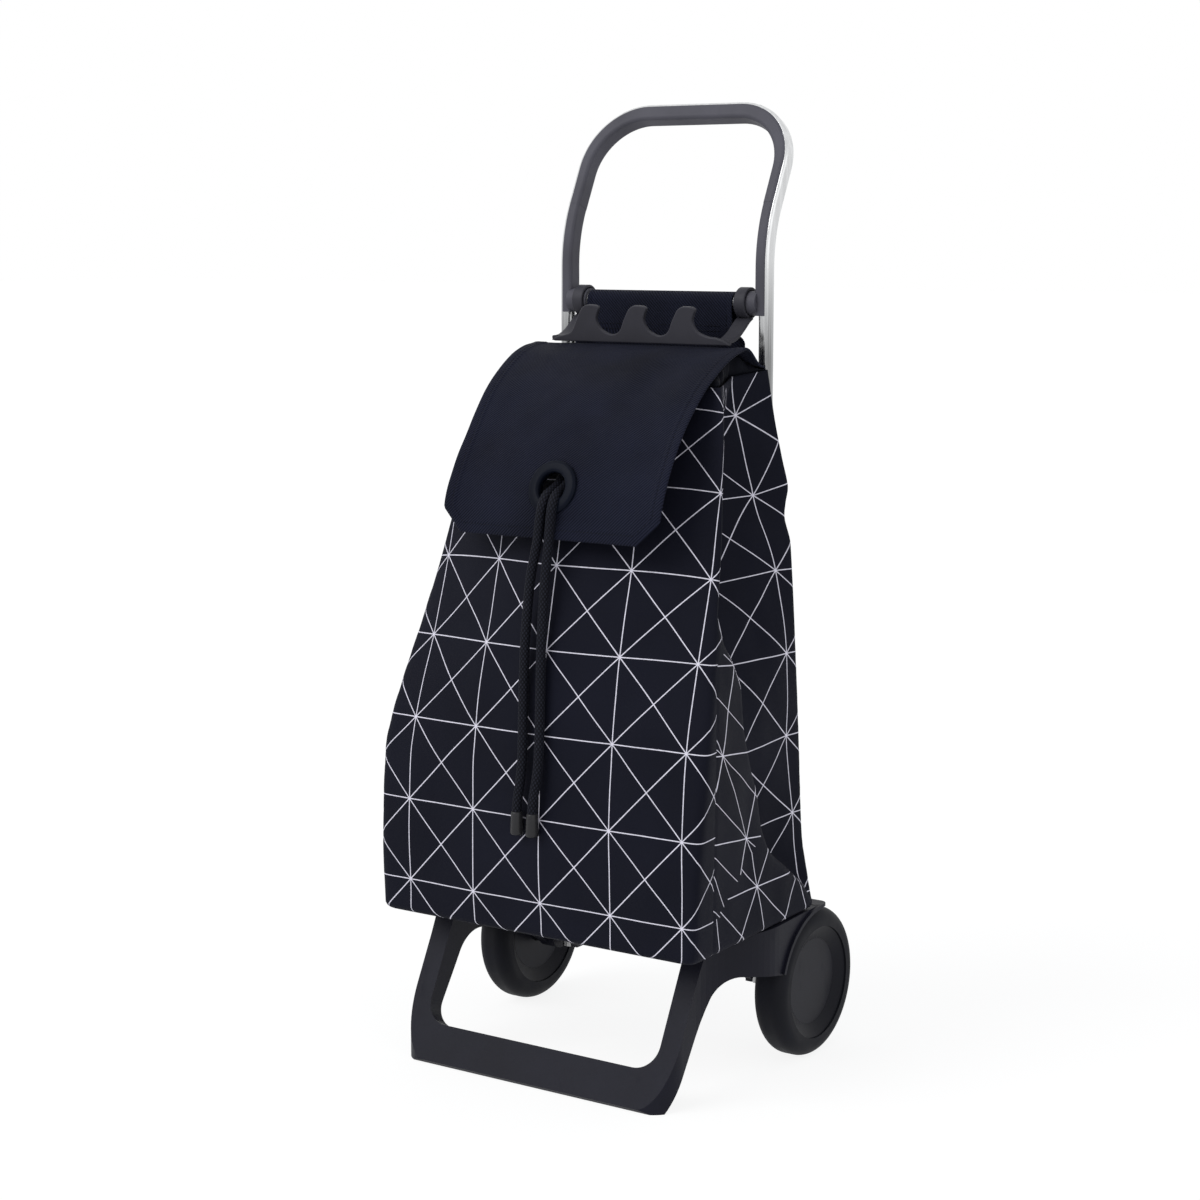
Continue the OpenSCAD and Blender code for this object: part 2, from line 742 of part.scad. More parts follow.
// Outline of an arm from above: straight inner side, outer side flaring out to the mudguard
module arm_plan(wall) {
    steps = 14;
    outer = [for (i = [0:steps]) let (t = i / steps)
        [foot_w / 2 + (base_out - foot_w / 2) * smooth(t) - wall, arm_from + flare_l * t]];
    polygon(concat([[base_in + wall, over], [base_in + wall, -foot_reach - over],
        [foot_w / 2 - wall, -foot_reach - over]], outer, [[base_out - wall, over]]));
}

// The loop of the foot, drawn on its leaning front face: across, and up along the face from the bevel.
// Its sides stand a trace proud of the arms behind them.
module foot_loop_front() {
    inner = foot_in - lap_step;
    top = deck_rear / cos(leg_lean);
    sill = (foot_h - foot_bevel) / cos(leg_lean);
    low = -2 * foot_bevel;
    difference() {
        translate([0, low + top]) round_rect(foot_w + 2 * lap_step, 2 * top, foot_corner);
        translate([-inner, sill + foot_fillet]) square([2 * inner, 2 * top]);
        translate([-inner + foot_fillet, sill]) square([2 * (inner - foot_fillet), 2 * top]);
        for (s = [-1, 1]) translate([s * (inner - foot_fillet), sill + foot_fillet]) circle(foot_fillet);
    }
}

module foot_loop() {
    loop_l = 75;
    intersection() {
        x_plate(-base_w / 2, base_w / 2) base_side();
        translate([0, -foot_reach, foot_bevel]) rotate([90 - leg_lean, 0, 0]) translate([0, 0, -foot_reach])
            linear_extrude(foot_reach + over) foot_loop_front();
        linear_extrude(total_h) translate([0, -foot_reach + base_w / 2])
            round_rect(foot_w, base_w, foot_round);
        translate([-base_w, -foot_reach - over, 0]) cube([2 * base_w, loop_l + over, total_h]);
    }
}

module arm() {
    rib = 3;
    pocket_front = arch_y - 34;
    pocket_l = 27;
    difference() {
        intersection() {
            x_plate(base_in, base_out) base_side();
            linear_extrude(total_h) arm_plan(0);
            translate([0, arm_from, 0]) cube([base_w, foot_reach, total_h]);
        }
        x_rod(well_in, base_w, 0, axle_z, 2 * guard_r);
        for (i = [0:2]) intersection() {
            linear_extrude(total_h) arm_plan(base_wall);
            translate([0, pocket_front + i * (pocket_l + rib), 0])
                cube([base_w, pocket_l, deck_at(pocket_front) - guard_t]);
            x_rod_outside(guard_r + base_wall);
        }
    }
}

// All space further from the axle than r
module x_rod_outside(r) {
    difference() {
        translate([0, -foot_reach, 0]) cube([base_w, 2 * foot_reach, total_h]);
        x_rod(-over, base_w + over, 0, axle_z, 2 * r);
    }
}

// Mudguard with its edge lip, the flat tail of the deck, and the wall that carries the hinge
module guard() {
    lip_root = 1;
    translate([0, 0, axle_z]) rotate([90, 0, 90]) rotate(90) rotate_extrude(angle = 90 - lip_from) {
        translate([guard_r, base_in]) square([guard_t, base_out - base_in]);
        translate([guard_r - lip_root, base_out - lip_root]) square([guard_t + lip_root, lip_w + lip_root]);
    }
    difference() {
        translate([0, 0, deck_rear - guard_t]) linear_extrude(guard_t) {
            translate([base_in, -over]) square([base_w / 2 - base_in - tail_round, deck_tail + over]);
            translate([base_in, -over]) square([base_w / 2 - base_in, deck_tail - tail_round + over]);
            translate([base_w / 2 - tail_round, deck_tail - tail_round]) circle(tail_round);
        }
        x_rod(well_in, base_w, 0, axle_z, 2 * guard_r);
    }
    x_plate(base_in, well_in) difference() {
        union() {
            polygon([[web_toe[0], axle_z + web_toe[1]], [-web_front, axle_z + web_low],
                [-web_front, deck_at(-web_front) - over], [0, deck_rear - over],
                [deck_tail - guard_t - over, deck_rear - over], [hinge_d / 2 - over, axle_z]]);
            translate([0, axle_z]) circle(d = hinge_d);
        }
        translate([0, axle_z]) circle(d = hinge_bush_d + 2 * run_gap);
    }
    difference() {
        x_rod(hub_in, well_in, 0, axle_z, hinge_d);
        x_rod(hub_in - over, well_in + over, 0, axle_z, hinge_bush_d + 2 * run_gap);
    }
}

module base_moulding() {
    color("#2a2a2c") on_axle() {
        foot_loop();
        both_sides() {
            arm();
            guard();
        }
    }
}

module hinge_bush(side) {
    color("gainsboro") on_axle() handed(side) difference() {
        x_rod(hub_in, well_in, 0, axle_z, hinge_bush_d);
        x_rod(0, base_w, 0, axle_z, axle_d + 2 * run_gap);
    }
}

// A turned piece of a wheel: radius across, outwards up
module turned(side) {
    on_axle() handed(side) translate([track / 2, 0, axle_z]) rotate([0, 90, 0]) rotate_extrude() children();
}

module tyre(side) {
    flat = tyre_w / 2 - shoulder_r;
    color("#1c1c1e") turned(side) difference() {
        union() {
            for (s = [-1, 1]) translate([wheel_r - shoulder_r, s * flat]) circle(shoulder_r);
            translate([rim_r, -tyre_w / 2]) square([wheel_r - shoulder_r - rim_r, tyre_w]);
            translate([rim_r, -flat]) square([wheel_r - rim_r, 2 * flat]);
        }
        translate([0, -tyre_w]) square([rim_r, 2 * tyre_w]);
    }
}

module rim(side) {
    seam = tyre_w / 2 - 2.2;
    web = 3;
    ledge_w = 5;
    ledge = disc_in - fit_gap;
    color("#242426") turned(side) {
        translate([bush_d / 2, -hub_inner]) square([hub_d / 2 - bush_d / 2, hub_inner + hub_outer]);
        translate([hub_d / 2 - over, -web]) square([disc_r - hub_d / 2 + 2 * over, 2 * web]);
        translate([disc_r - ledge_w, -ledge]) square([ledge_w + over, 2 * ledge]);
        polygon([[disc_r + fit_gap, -disc_out], [rim_r - fit_gap, -seam], [rim_r - fit_gap, seam],
            [disc_r + fit_gap, disc_out]]);
    }
}

module outer_disc(side) {
    color("#2e2e30") turned(side) translate([0, disc_in]) square([disc_r, disc_t]);
}

module inner_disc(side) {
    bore = hub_d / 2 + side_gap;
    color("#2e2e30") turned(side) translate([bore, -disc_out]) square([disc_r - bore, disc_t]);
}

module wheel_bush(side) {
    color("gainsboro") turned(side) translate([axle_r + run_gap, -hub_inner - clip_gap])
        square([bush_d / 2 - axle_r - run_gap, hub_inner + hub_outer + 2 * clip_gap]);
}

// Loop round the crossbar and the panel that runs down behind the bag
module hanger_panel() {
    tail = 30;
    color("#15171f") on_axle() translate([-hanger_w / 2, 0, 0]) x_plate(0, hanger_w) difference() {
        union() {
            translate([crossbar_y, crossbar_z]) circle(hanger_out);
            translate([crossbar_y - hanger_out, bag_rim - tail]) square([hanger_t, bag_hang + tail]);
        }
        translate([crossbar_y, crossbar_z]) circle(hanger_in);
    }
}

module bag_body() {
    n = len(bag_ring(0, 0));
    outer = [for (f = bag_levels) bag_level(f, 0, 0)];
    inner = [for (i = [len(bag_levels) - 1:-1:0])
        bag_level(bag_levels[i], bag_wall, i == 0 ? bag_wall : 0)];
    rings = concat(outer, inner);
    color("#14161e") on_axle() polyhedron(flat_list(rings), skin_faces(len(rings), n, bag_corner));
}

module bag_base_board() {
    n = len(bag_ring(0, 0));
    gap = bag_wall + 4;
    low = bag_level(0, gap, bag_wall + soft_gap);
    high = bag_level(0, gap, bag_wall + soft_gap + board_t);
    color("peru") on_axle() polyhedron(concat(low, high), skin_faces(2, n, bag_corner));
}

module bag_collar() {
    n = 4 * gathers;
    low = bag_rim + soft_gap;
    rings = [
        at_height(collar_ring(0, 0), low), at_height(collar_ring(0.5, 0), low + 0.62 * collar_h),
        at_height(collar_ring(1, 0), low + collar_h), at_height(collar_ring(1, 3), low + collar_h),
        at_height(collar_ring(0.5, 3), low + 0.62 * collar_h - 1), at_height(collar_ring(0, 4), low)
    ];
    color("#101118") on_axle() polyhedron(flat_list(rings), ring_faces(len(rings), n));
}

// Faces of a closed band of rings, the last joined to the first
function ring_faces(rings, n) = [for (k = [0:rings - 1], i = [0:n - 1], h = [0, 1])
    let (
        a = k * n + i,
        b = k * n + (i + 1) % n,
        c = ((k + 1) % rings) * n + i,
        d = ((k + 1) % rings) * n + (i + 1) % n
    )
    h == 0 ? [a, c, b] : [b, c, d]];

// A curved sheet between two angles round the curve of the flap
module flap_sheet(a0, a1) {
    translate([-flap_w / 2, flap_back, flap_z]) rotate([90, 0, 90]) rotate([0, 0, a0])
        rotate_extrude(angle = a1 - a0) translate([flap_r - flap_t, 0]) square([flap_t, flap_w]);
}

// From the fold line over a low crest to the hanging panel
module flap_yoke() {
    fold = [cos(fold_a - split_a), sin(fold_a - split_a)];
    at = [flap_back, flap_z];
    crest = [-crest_fore, crossbar_z - crest_hang];
    edge = [yoke_y, crossbar_z - edge_hang];
    down = [0, -flap_t];
    color("#1a1c24") on_axle() x_plate(-flap_w / 2, flap_w / 2)
        polygon([at + flap_r * fold, at + (flap_r - flap_t) * fold, crest + down, edge + down, edge, crest]);
}

module at_eyelet() {
    translate([0, flap_back, flap_z]) rotate([-eyelet_a, 0, 0]) translate([0, -flap_r, 0])
        rotate([90, 0, 0]) children();
}

module flap() {
    end_a = 180 - flap_end_a;
    color("#1a1c24") on_axle() difference() {
        flap_sheet(fold_a + split_a, end_a);
        at_eyelet() cylinder(d = barrel_d + 2 * side_gap, h = 4 * flap_t, center = true);
        both_sides() translate([flap_w / 2, flap_back - flap_r, flap_z + flap_r * sin(flap_end_a)])
            rotate([0, 45, 0]) cube([1.5 * flap_cut, 4 * flap_cut, 1.42 * flap_cut], center = true);
    }
}

module eyelet_ring() {
    color("#202022") on_axle() at_eyelet() rotate_extrude() {
        translate([eyelet_hole / 2, fit_gap])
            square([eyelet_d / 2 - eyelet_t / 2 - eyelet_hole / 2, eyelet_t]);
        translate([eyelet_d / 2 - eyelet_t / 2, fit_gap + eyelet_t / 2]) circle(eyelet_t / 2);
        translate([eyelet_hole / 2, -flap_t - barrel_reach])
            square([(barrel_d - eyelet_hole) / 2, flap_t + barrel_reach + eyelet_t]);
    }
}

module eyelet_washer() {
    color("#202022") on_axle() at_eyelet() translate([0, 0, -flap_t - washer_back - washer_t]) difference() {
        cylinder(d = washer_d, h = washer_t);
        translate([0, 0, -over]) cylinder(d = barrel_d + 2 * run_gap, h = washer_t + 2 * over);
    }
}

module cord(route) {
    sides = 10;
    steps = 2;
    fine = between(route, steps);
    color("#111113") on_axle() polyhedron(cord_points(fine, cord_d / 2, sides), skin_faces(len(fine), sides));
}

module cord_tip(route) {
    end = route[len(route) - 1];
    r = 1.5;
    color("#2c2c2e") on_axle() translate([end[0], end[1], end[2] - tip_l - fit_gap])
        rotate_extrude() {
            square([tip_d / 2 - r, tip_l]);
            translate([0, r]) square([tip_d / 2, tip_l - 2 * r]);
            for (z = [r, tip_l - r]) translate([tip_d / 2 - r, z]) circle(r);
        }
}

frame_tube();
handle_grip();
crossbar();
bag_hook_rack();
leg_bracket(-1);  // leg_bracket_left
leg_bracket(1);  // leg_bracket_right
bracket_rivets();
axle();
axle_clips();
axle_spacers();
wheel_washers();
base_moulding();
hinge_bush(-1);  // hinge_bush_left
hinge_bush(1);  // hinge_bush_right
tyre(-1);  // tyre_left
tyre(1);  // tyre_right
rim(-1);  // rim_left
rim(1);  // rim_right
outer_disc(-1);  // outer_disc_left
outer_disc(1);  // outer_disc_right
inner_disc(-1);  // inner_disc_left
inner_disc(1);  // inner_disc_right
wheel_bush(-1);  // wheel_bush_left
wheel_bush(1);  // wheel_bush_right
hanger_panel();
bag_body();
bag_base_board();
bag_collar();
flap_yoke();
flap();
eyelet_ring();
eyelet_washer();
cord(route_left);  // cord_left
cord(route_right);  // cord_right
cord_tip(route_left);  // cord_tip_left
cord_tip(route_right);  // cord_tip_right
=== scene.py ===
import math

import bmesh
import bpy
import numpy as np
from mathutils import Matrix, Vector, noise


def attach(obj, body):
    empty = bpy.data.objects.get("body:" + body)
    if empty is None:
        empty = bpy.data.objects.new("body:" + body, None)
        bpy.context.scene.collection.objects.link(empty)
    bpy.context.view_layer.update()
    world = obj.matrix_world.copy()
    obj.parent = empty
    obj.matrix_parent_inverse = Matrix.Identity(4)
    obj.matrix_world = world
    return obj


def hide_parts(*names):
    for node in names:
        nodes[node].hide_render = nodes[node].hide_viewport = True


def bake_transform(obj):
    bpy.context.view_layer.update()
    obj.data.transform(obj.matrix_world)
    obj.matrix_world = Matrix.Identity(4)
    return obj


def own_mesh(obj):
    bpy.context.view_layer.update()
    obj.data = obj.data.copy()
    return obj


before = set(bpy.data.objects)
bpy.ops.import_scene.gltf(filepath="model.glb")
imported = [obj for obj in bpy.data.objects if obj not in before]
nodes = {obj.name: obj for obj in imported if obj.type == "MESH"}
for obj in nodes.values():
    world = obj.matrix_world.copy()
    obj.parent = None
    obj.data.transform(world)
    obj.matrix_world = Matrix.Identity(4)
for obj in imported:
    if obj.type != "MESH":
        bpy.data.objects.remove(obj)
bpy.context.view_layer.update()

scene = bpy.context.scene
MM = 0.001
# Shapes below are in millimetres, with their depth measured from the axle
AXLE_Y = 89.5


def row(points):
    """Points in millimetres, with their depth from the axle, as row-frame metres."""
    made = np.array(points, float)
    made[..., 1] += AXLE_Y
    return made * MM


def fade(low, high, value):
    """0 at low, 1 at high and smooth between them. high may be the lesser one."""
    t = np.clip((np.asarray(value, float) - low) / (high - low), 0, 1)
    return t * t * (3 - 2 * t)


def eased(pairs):
    """A smooth curve through pairs without overshoot, constant beyond them."""
    xs, ys = np.array(pairs, float).T
    slopes = np.diff(ys) / np.diff(xs)
    tangents = np.zeros(len(xs))
    for i in range(1, len(xs) - 1):
        if slopes[i - 1] * slopes[i] > 0:
            tangents[i] = 2 / (1 / slopes[i - 1] + 1 / slopes[i])
    tangents[[0, -1]] = slopes[[0, -1]]

    def at(value):
        v = min(max(value, xs[0]), xs[-1])
        i = min(max(int(np.searchsorted(xs, v)) - 1, 0), len(xs) - 2)
        w = xs[i + 1] - xs[i]
        t = (v - xs[i]) / w
        return ((1 + 2 * t) * (1 - t) ** 2 * ys[i] + t * (1 - t) ** 2 * w * tangents[i]
                + t * t * (3 - 2 * t) * ys[i + 1] + t * t * (t - 1) * w * tangents[i + 1])
    return at


def run_length(points):
    """Length along a polyline at each of its points."""
    steps = np.linalg.norm(np.diff(points, axis=0), axis=1)
    return np.concatenate([[0], np.cumsum(steps)])


def resample(points, count):
    """count + 1 points evenly along a polyline."""
    points = np.asarray(points, float)
    at = run_length(points)
    want = np.linspace(0, at[-1], count + 1)
    return np.stack([np.interp(want, at, way) for way in points.T], axis=1)


def unit(vectors):
    return vectors / np.linalg.norm(vectors, axis=-1, keepdims=True)


def ring_of(points):
    """A closed polyline of points."""
    return np.vstack([points, points[:1]])


def turns(count):
    """Angles evenly round a circle."""
    return np.linspace(0, 2 * math.pi, count, endpoint=False)


def through(points, steps):
    """A smooth curve through points, with steps stretches between each two."""
    p = np.array(points, float)
    made = []
    for i in range(len(p) - 1):
        a, b, c, d = p[max(i - 1, 0)], p[i], p[i + 1], p[min(i + 2, len(p) - 1)]
        for t in np.arange(steps) / steps:
            made.append(0.5 * (2 * b + (c - a) * t + (2 * a - 5 * b + 4 * c - d) * t ** 2
                               + (3 * b - a - 3 * c + d) * t ** 3))
    return np.array(made + [p[-1]])


def ripple(point, size, seed):
    """Smooth noise of about unit height at a point in millimetres."""
    x, y, z = (c / size for c in point)
    return noise.noise(Vector((x + seed, y - seed, z + 2 * seed)))


def linked(name, data):
    """A new object of the scene that holds data."""
    made = bpy.data.objects.new(name, data)
    scene.collection.objects.link(made)
    return made


# Camera, as the photograph was taken
camera = linked("camera", bpy.data.cameras.new("camera"))
camera.data.sensor_width = 36
camera.data.lens = 74.38
camera.location = (1.43651, -2.14892, 0.87258)
camera.rotation_euler = (math.radians(81.48), 0, math.radians(34.18))
scene.camera = camera
scene.view_settings.view_transform = "Standard"


# Finishes
class Shader:
    """The nodes of a material or a world, with short calls that add and join them."""

    def __init__(self, owner, output):
        owner.use_nodes = True
        self.owner = owner
        self.tree = owner.node_tree
        self.tree.nodes.clear()
        self.surface = self.add(output).inputs["Surface"]

    def put(self, socket, value):
        if isinstance(value, bpy.types.NodeSocket):
            self.tree.links.new(value, socket)
        else:
            socket.default_value = value

    def add(self, kind, **inputs):
        made = self.tree.nodes.new("ShaderNode" + kind)
        for name, value in inputs.items():
            self.put(made.inputs[name.replace("_", " ")], value)
        return made

    def fill(self, made, *values):
        for socket, value in zip(made.inputs, values):
            self.put(socket, value)
        return made

    def math(self, operation, *values):
        made = self.add("Math")
        made.operation = operation
        return self.fill(made, *values).outputs[0]

    def either(self, share, first, second):
        """The first shader where share is 0 and the second where it is 1."""
        return self.fill(self.add("MixShader"), share, first.outputs[0], second.outputs[0])

    def direct_rays(self):
        """1 for what the camera, a reflection or a see-through surface looks at, or else 0."""
        rays = self.add("LightPath").outputs
        seen = self.math("MAXIMUM", rays["Is Camera Ray"], rays["Is Glossy Ray"])
        return self.math("MAXIMUM", seen, rays["Is Transmission Ray"])

    def show(self, shader):
        self.put(self.surface, shader.outputs[0])


class Finish(Shader):
    """A procedural material around one Principled shader."""

    def __init__(self, name, color, roughness, **sockets):
        super().__init__(bpy.data.materials.new(name), "OutputMaterial")
        bsdf = self.add("BsdfPrincipled", Base_Color=(*color, 1), Roughness=roughness, **sockets)
        self.inputs = bsdf.inputs
        self.show(bsdf)
        self.place = self.add("TexCoord").outputs["Object"]

    def cloth(self):
        return self.add("UVMap").outputs[0]

    def split(self, vector):
        return self.add("SeparateXYZ", Vector=vector).outputs

    def noise(self, scale, detail, stretch=None):
        place = self.place
        if stretch:
            place = self.add("Mapping", Vector=place, Scale=stretch).outputs[0]
        return self.add("TexNoise", Vector=place, Scale=scale, Detail=detail).outputs["Fac"]

    def ramp(self, value, a, b, low=0.3, high=0.7):
        """a at low and b at high, which are the usual range of noise."""
        return self.add("MapRange", Value=value, From_Min=low, From_Max=high, To_Min=a, To_Max=b).outputs[0]

    def step(self, value, low, high):
        made = self.add("MapRange", Value=value, From_Min=low, From_Max=high)
        made.interpolation_type = "SMOOTHSTEP"
        return made.outputs[0]

    def mix(self, share, a, b):
        made = self.add("Mix")
        made.data_type = "RGBA"
        self.put(made.inputs[0], share)
        for socket, value in ((made.inputs[6], a), (made.inputs[7], b)):
            self.put(socket, (*value, 1) if isinstance(value, tuple) else value)
        return made.outputs[2]

    def color(self, value):
        self.put(self.inputs["Base Color"], value)

    def rough(self, value):
        self.put(self.inputs["Roughness"], value)

    def bump(self, height, distance, strength):
        """Adds relief on top of any that is there."""
        made = self.add("Bump", Height=height, Distance=distance, Strength=strength)
        before = self.inputs["Normal"].links
        if before:
            self.put(made.inputs["Normal"], before[0].from_socket)
        self.put(self.inputs["Normal"], made.outputs[0])


def tint(color, share):
    return tuple(min(1.0, c * share) for c in color)


def plastic(name, color, roughness, grain, depth, level, streak=None):
    """Moulded plastic: fine spark grain, slow cloudiness, faint scuffs, and lines drawn out by streak."""
    made = Finish(name, color, roughness, Specular_IOR_Level=level)
    cloud = made.noise(14, 3)
    fine = made.noise(grain, 2)
    made.color(made.mix(made.ramp(cloud, 0, 1, 0.35, 0.65), tint(color, 0.86), tint(color, 1.16)))
    scuff = made.step(made.noise(60, 6, (1, 1, 0.35)), 0.6, 0.72)
    made.rough(made.math("ADD", made.ramp(fine, roughness - 0.05, roughness + 0.05),
                         made.math("MULTIPLY", scuff, 0.07)))
    if streak:
        made.bump(made.noise(420, 2, streak), 0.00009, 0.7)
    made.bump(fine, depth, 0.8)
    return made


def metal(name, color, roughness, along, calm=None):
    """Drawn or turned metal with fine lines along one way and broader painted reflection streaks, both fainter
    above the heights in calm, where the metal is painted paler as a painted highlight; below them it is painted
    darker as painted shade.
    """
    made = Finish(name, color, roughness, Metallic=1.0, Anisotropic=0.35)
    lines = made.noise(1500, 3, along)
    # Broad bands drawn out along the tube are painted reflection streaks; the fine lines are the metal's drawn
    # lines.
    painted_streaks = made.noise(170, 2, along)
    cloud = made.noise(30, 3)
    share = made.math("ADD", made.ramp(lines, 0, 0.35), made.ramp(painted_streaks, 0, 0.65, 0.38, 0.62))
    # Painted highlight and shade: the metal is painted paler above the heights in calm and darker below them.
    if calm:
        high = made.split(made.place)[2]
        share = made.math("MULTIPLY_ADD", made.math("SUBTRACT", share, 0.5),
                          made.ramp(high, 1.0, 0.25, *calm), made.ramp(high, 0.34, 0.85, *calm))
    made.color(made.mix(share, tint(color, 0.4), tint(color, 1.6)))
    made.rough(made.math("ADD", made.ramp(lines, roughness - 0.06, roughness + 0.08, 0.25, 0.75),
                         made.ramp(cloud, -0.03, 0.03)))
    made.bump(lines, 0.00002, 0.5)
    return made


def rubber(name, color):
    """Smooth rubber with a little dust."""
    made = Finish(name, color, 0.62, Specular_IOR_Level=0.14)
    dust = made.noise(38, 5)
    made.color(made.mix(made.step(dust, 0.45, 0.75), color, tint(color, 1.5)))
    made.rough(made.ramp(dust, 0.55, 0.7))
    made.bump(made.noise(700, 2), 0.00008, 0.7)
    return made


WEAVE = (-1.2, 1.2)  # range of a weave's height


def woven(made, vector, pitch, depth, twill=False):
    """Adds the relief of a weave, twill ribs or plain over and under, and gives its height."""
    across, up = made.split(vector)[:2]
    u, v = (made.math("MULTIPLY", way, 2 * math.pi / pitch) for way in (across, up))
    if twill:
        ribs = made.math("SINE", made.math("ADD", u, v))
        cross = made.math("SINE", made.math("MULTIPLY", made.math("SUBTRACT", u, v), 2.0))
        height = made.math("MULTIPLY_ADD", cross, 0.35, ribs)
    else:
        over = made.math("MULTIPLY", made.math("SINE", u), made.math("COSINE", v))
        twice = made.math("SINE", made.math("MULTIPLY", u, 2.0))
        height = made.math("MULTIPLY_ADD", twice, 0.3, over)
    made.bump(height, depth, 0.8)
    return height


def twill_cloth(name, color):
    """Heavy cloth with slanting ribs, whose crests are painted lighter and grooves darker: painted highlight and
    shade on the ribs.
    """
    made = Finish(name, color, 0.78, Specular_IOR_Level=0.07, Sheen_Weight=0.02, Sheen_Roughness=0.45)
    made.bump(made.noise(45, 4), 0.0006, 0.35)
    ribs = woven(made, made.cloth(), 0.0036, 0.0004, twill=True)
    slow = made.ramp(made.noise(9, 4), 0.0, 0.38)
    # Painted highlight and shade: the rib crests are painted lighter and the grooves darker, on top of slow
    # random tone.
    share = made.math("ADD", made.ramp(ribs, 0.0, 0.62, *WEAVE), slow)
    made.color(made.mix(share, tint(color, 0.0), tint(color, 2.5)))
    made.rough(made.ramp(ribs, 0.8, 0.64, *WEAVE))
    return made


# The print, in metres: its cell, and the reach of a line and of a dot, from faint to full
PRINT_U, PRINT_V = 0.0845, 0.0866
PRINT_LINE = (0.0007, 0.00038)
PRINT_DOT = (0.0022, 0.0009)


def printed_cloth(name, color, ink):
    """Dark polyester with thin pale lines: a square lattice with both diagonals, bright where they meet."""
    made = Finish(name, color, 0.7, Specular_IOR_Level=0.08, Sheen_Weight=0.015, Sheen_Roughness=0.45)
    place = made.cloth()
    u, v = (made.math("DIVIDE", way, cell) for way, cell in zip(made.split(place), (PRINT_U, PRINT_V)))

    def away(value, cell):
        near = made.math("SUBTRACT", made.math("FRACT", made.math("ADD", value, 0.5)), 0.5)
        return made.math("MULTIPLY", made.math("ABSOLUTE", near), cell)

    du, dv = away(u, PRINT_U), away(v, PRINT_V)
    d1, d2 = (away(made.math(way, u, v), PRINT_U / math.sqrt(2)) for way in ("ADD", "SUBTRACT"))
    nearest = made.math("MINIMUM", made.math("MINIMUM", du, dv), made.math("MINIMUM", d1, d2))
    hub = made.math("SQRT", made.math("ADD", made.math("MULTIPLY", du, du), made.math("MULTIPLY", dv, dv)))
    inked = made.math("MAXIMUM", made.step(nearest, *PRINT_LINE), made.step(hub, *PRINT_DOT))
    grain = made.ramp(made.noise(260, 2), 0.78, 1.0)
    made.bump(made.noise(40, 4), 0.0006, 0.3)
    weave = woven(made, place, 0.0013, 0.00009)
    ground = made.mix(made.math("ADD", made.ramp(weave, 0.0, 0.5, *WEAVE),
                                made.ramp(made.noise(8, 3), 0.0, 0.5)),
                      tint(color, 0.7), tint(color, 1.35))
    made.color(made.mix(made.math("MULTIPLY", inked, grain), ground, ink))
    made.rough(made.ramp(weave, 0.74, 0.6, *WEAVE))
    return made


def plain_cloth(name, color, roughness, level):
    made = Finish(name, color, roughness, Specular_IOR_Level=level, Sheen_Weight=0.02)
    weave = woven(made, made.place, 0.0012, 0.00008)
    made.bump(made.noise(60, 4), 0.0008, 0.4)
    made.color(made.mix(made.ramp(weave, 0.0, 1.0, *WEAVE), tint(color, 0.75), tint(color, 1.25)))
    made.rough(made.ramp(made.noise(20, 3), roughness - 0.08, roughness + 0.08))
    return made


def yarn(name, color, braided=False):
    """Twisted yarn, or a braid whose diamonds lie in cloth coordinates that count strands and lays; the braid's
    strand crests are painted much lighter and the hollows between them darker, as painted highlight and shade.
    """
    made = Finish(name, color, 0.66, Specular_IOR_Level=0.08, Sheen_Weight=0.01, Sheen_Roughness=0.4)
    hairs = made.noise(1400, 3, (1, 1, 0.4))
    share = made.ramp(hairs, 0, 1)
    if braided:
        across, along = made.split(made.cloth())[:2]
        u, v = (made.math("MULTIPLY", way, math.pi) for way in (across, along))
        one, two = (made.math("SINE", made.math(way, u, v)) for way in ("ADD", "SUBTRACT"))
        # Painted highlight and shade on the braid: strand crests are painted light and the hollows between them
        # dark.
        painted_crest_light = made.step(made.math("ABSOLUTE", made.math("MULTIPLY", one, two)), 0.1, 0.9)
        share = made.math("MULTIPLY_ADD", painted_crest_light, 0.75, made.math("MULTIPLY", share, 0.25))
    made.color(made.mix(share, tint(color, 0.3), tint(color, 3.6 if braided else 1.7)))
    made.bump(hairs, 0.0002, 0.7)
    return made


# The aluminium is painted paler from 0.74 m up to 0.84 m and above, a painted highlight on the top of the frame.
ALU = metal("alu", (0.47, 0.475, 0.48), 0.24, (1, 1, 0.012), calm=(0.74, 0.84))
STEEL = metal("steel", (0.42, 0.42, 0.43), 0.34, (0.02, 1, 1))
# Plastics: colour, roughness, how fine the grain is, how deep it is in metres, and how much they mirror
GRIP = plastic("grip_plastic", (0.074, 0.0725, 0.089), 0.55, 1100, 0.00007, 0.2)
RACK = plastic("rack_plastic", (0.032, 0.0314, 0.04), 0.5, 1100, 0.00006, 0.18)
BASE = plastic("base_plastic", (0.0082, 0.0085, 0.0152), 0.47, 800, 0.00007, 0.125, streak=(1, 1, 0.05))
BUSH = plastic("bush_plastic", (0.72, 0.72, 0.69), 0.4, 500, 0.00003, 0.4)
RIM = plastic("rim_plastic", (0.0068, 0.0072, 0.0115), 0.42, 900, 0.00004, 0.11)
DISC = plastic("disc_plastic", (0.008, 0.0083, 0.0142), 0.38, 900, 0.00003, 0.115)
EYELET = plastic("eyelet_plastic", (0.004, 0.0056, 0.0115), 0.36, 900, 0.00003, 0.05)
TIP = plastic("tip_plastic", (0.02, 0.02, 0.022), 0.3, 900, 0.00003, 0.22)
BOARD = plastic("board", (0.09, 0.09, 0.1), 0.6, 500, 0.00005, 0.3)
TYRE = rubber("tyre_rubber", (0.006, 0.0064, 0.0098))
TWILL = twill_cloth("twill_fabric", (0.0066, 0.0077, 0.0162))
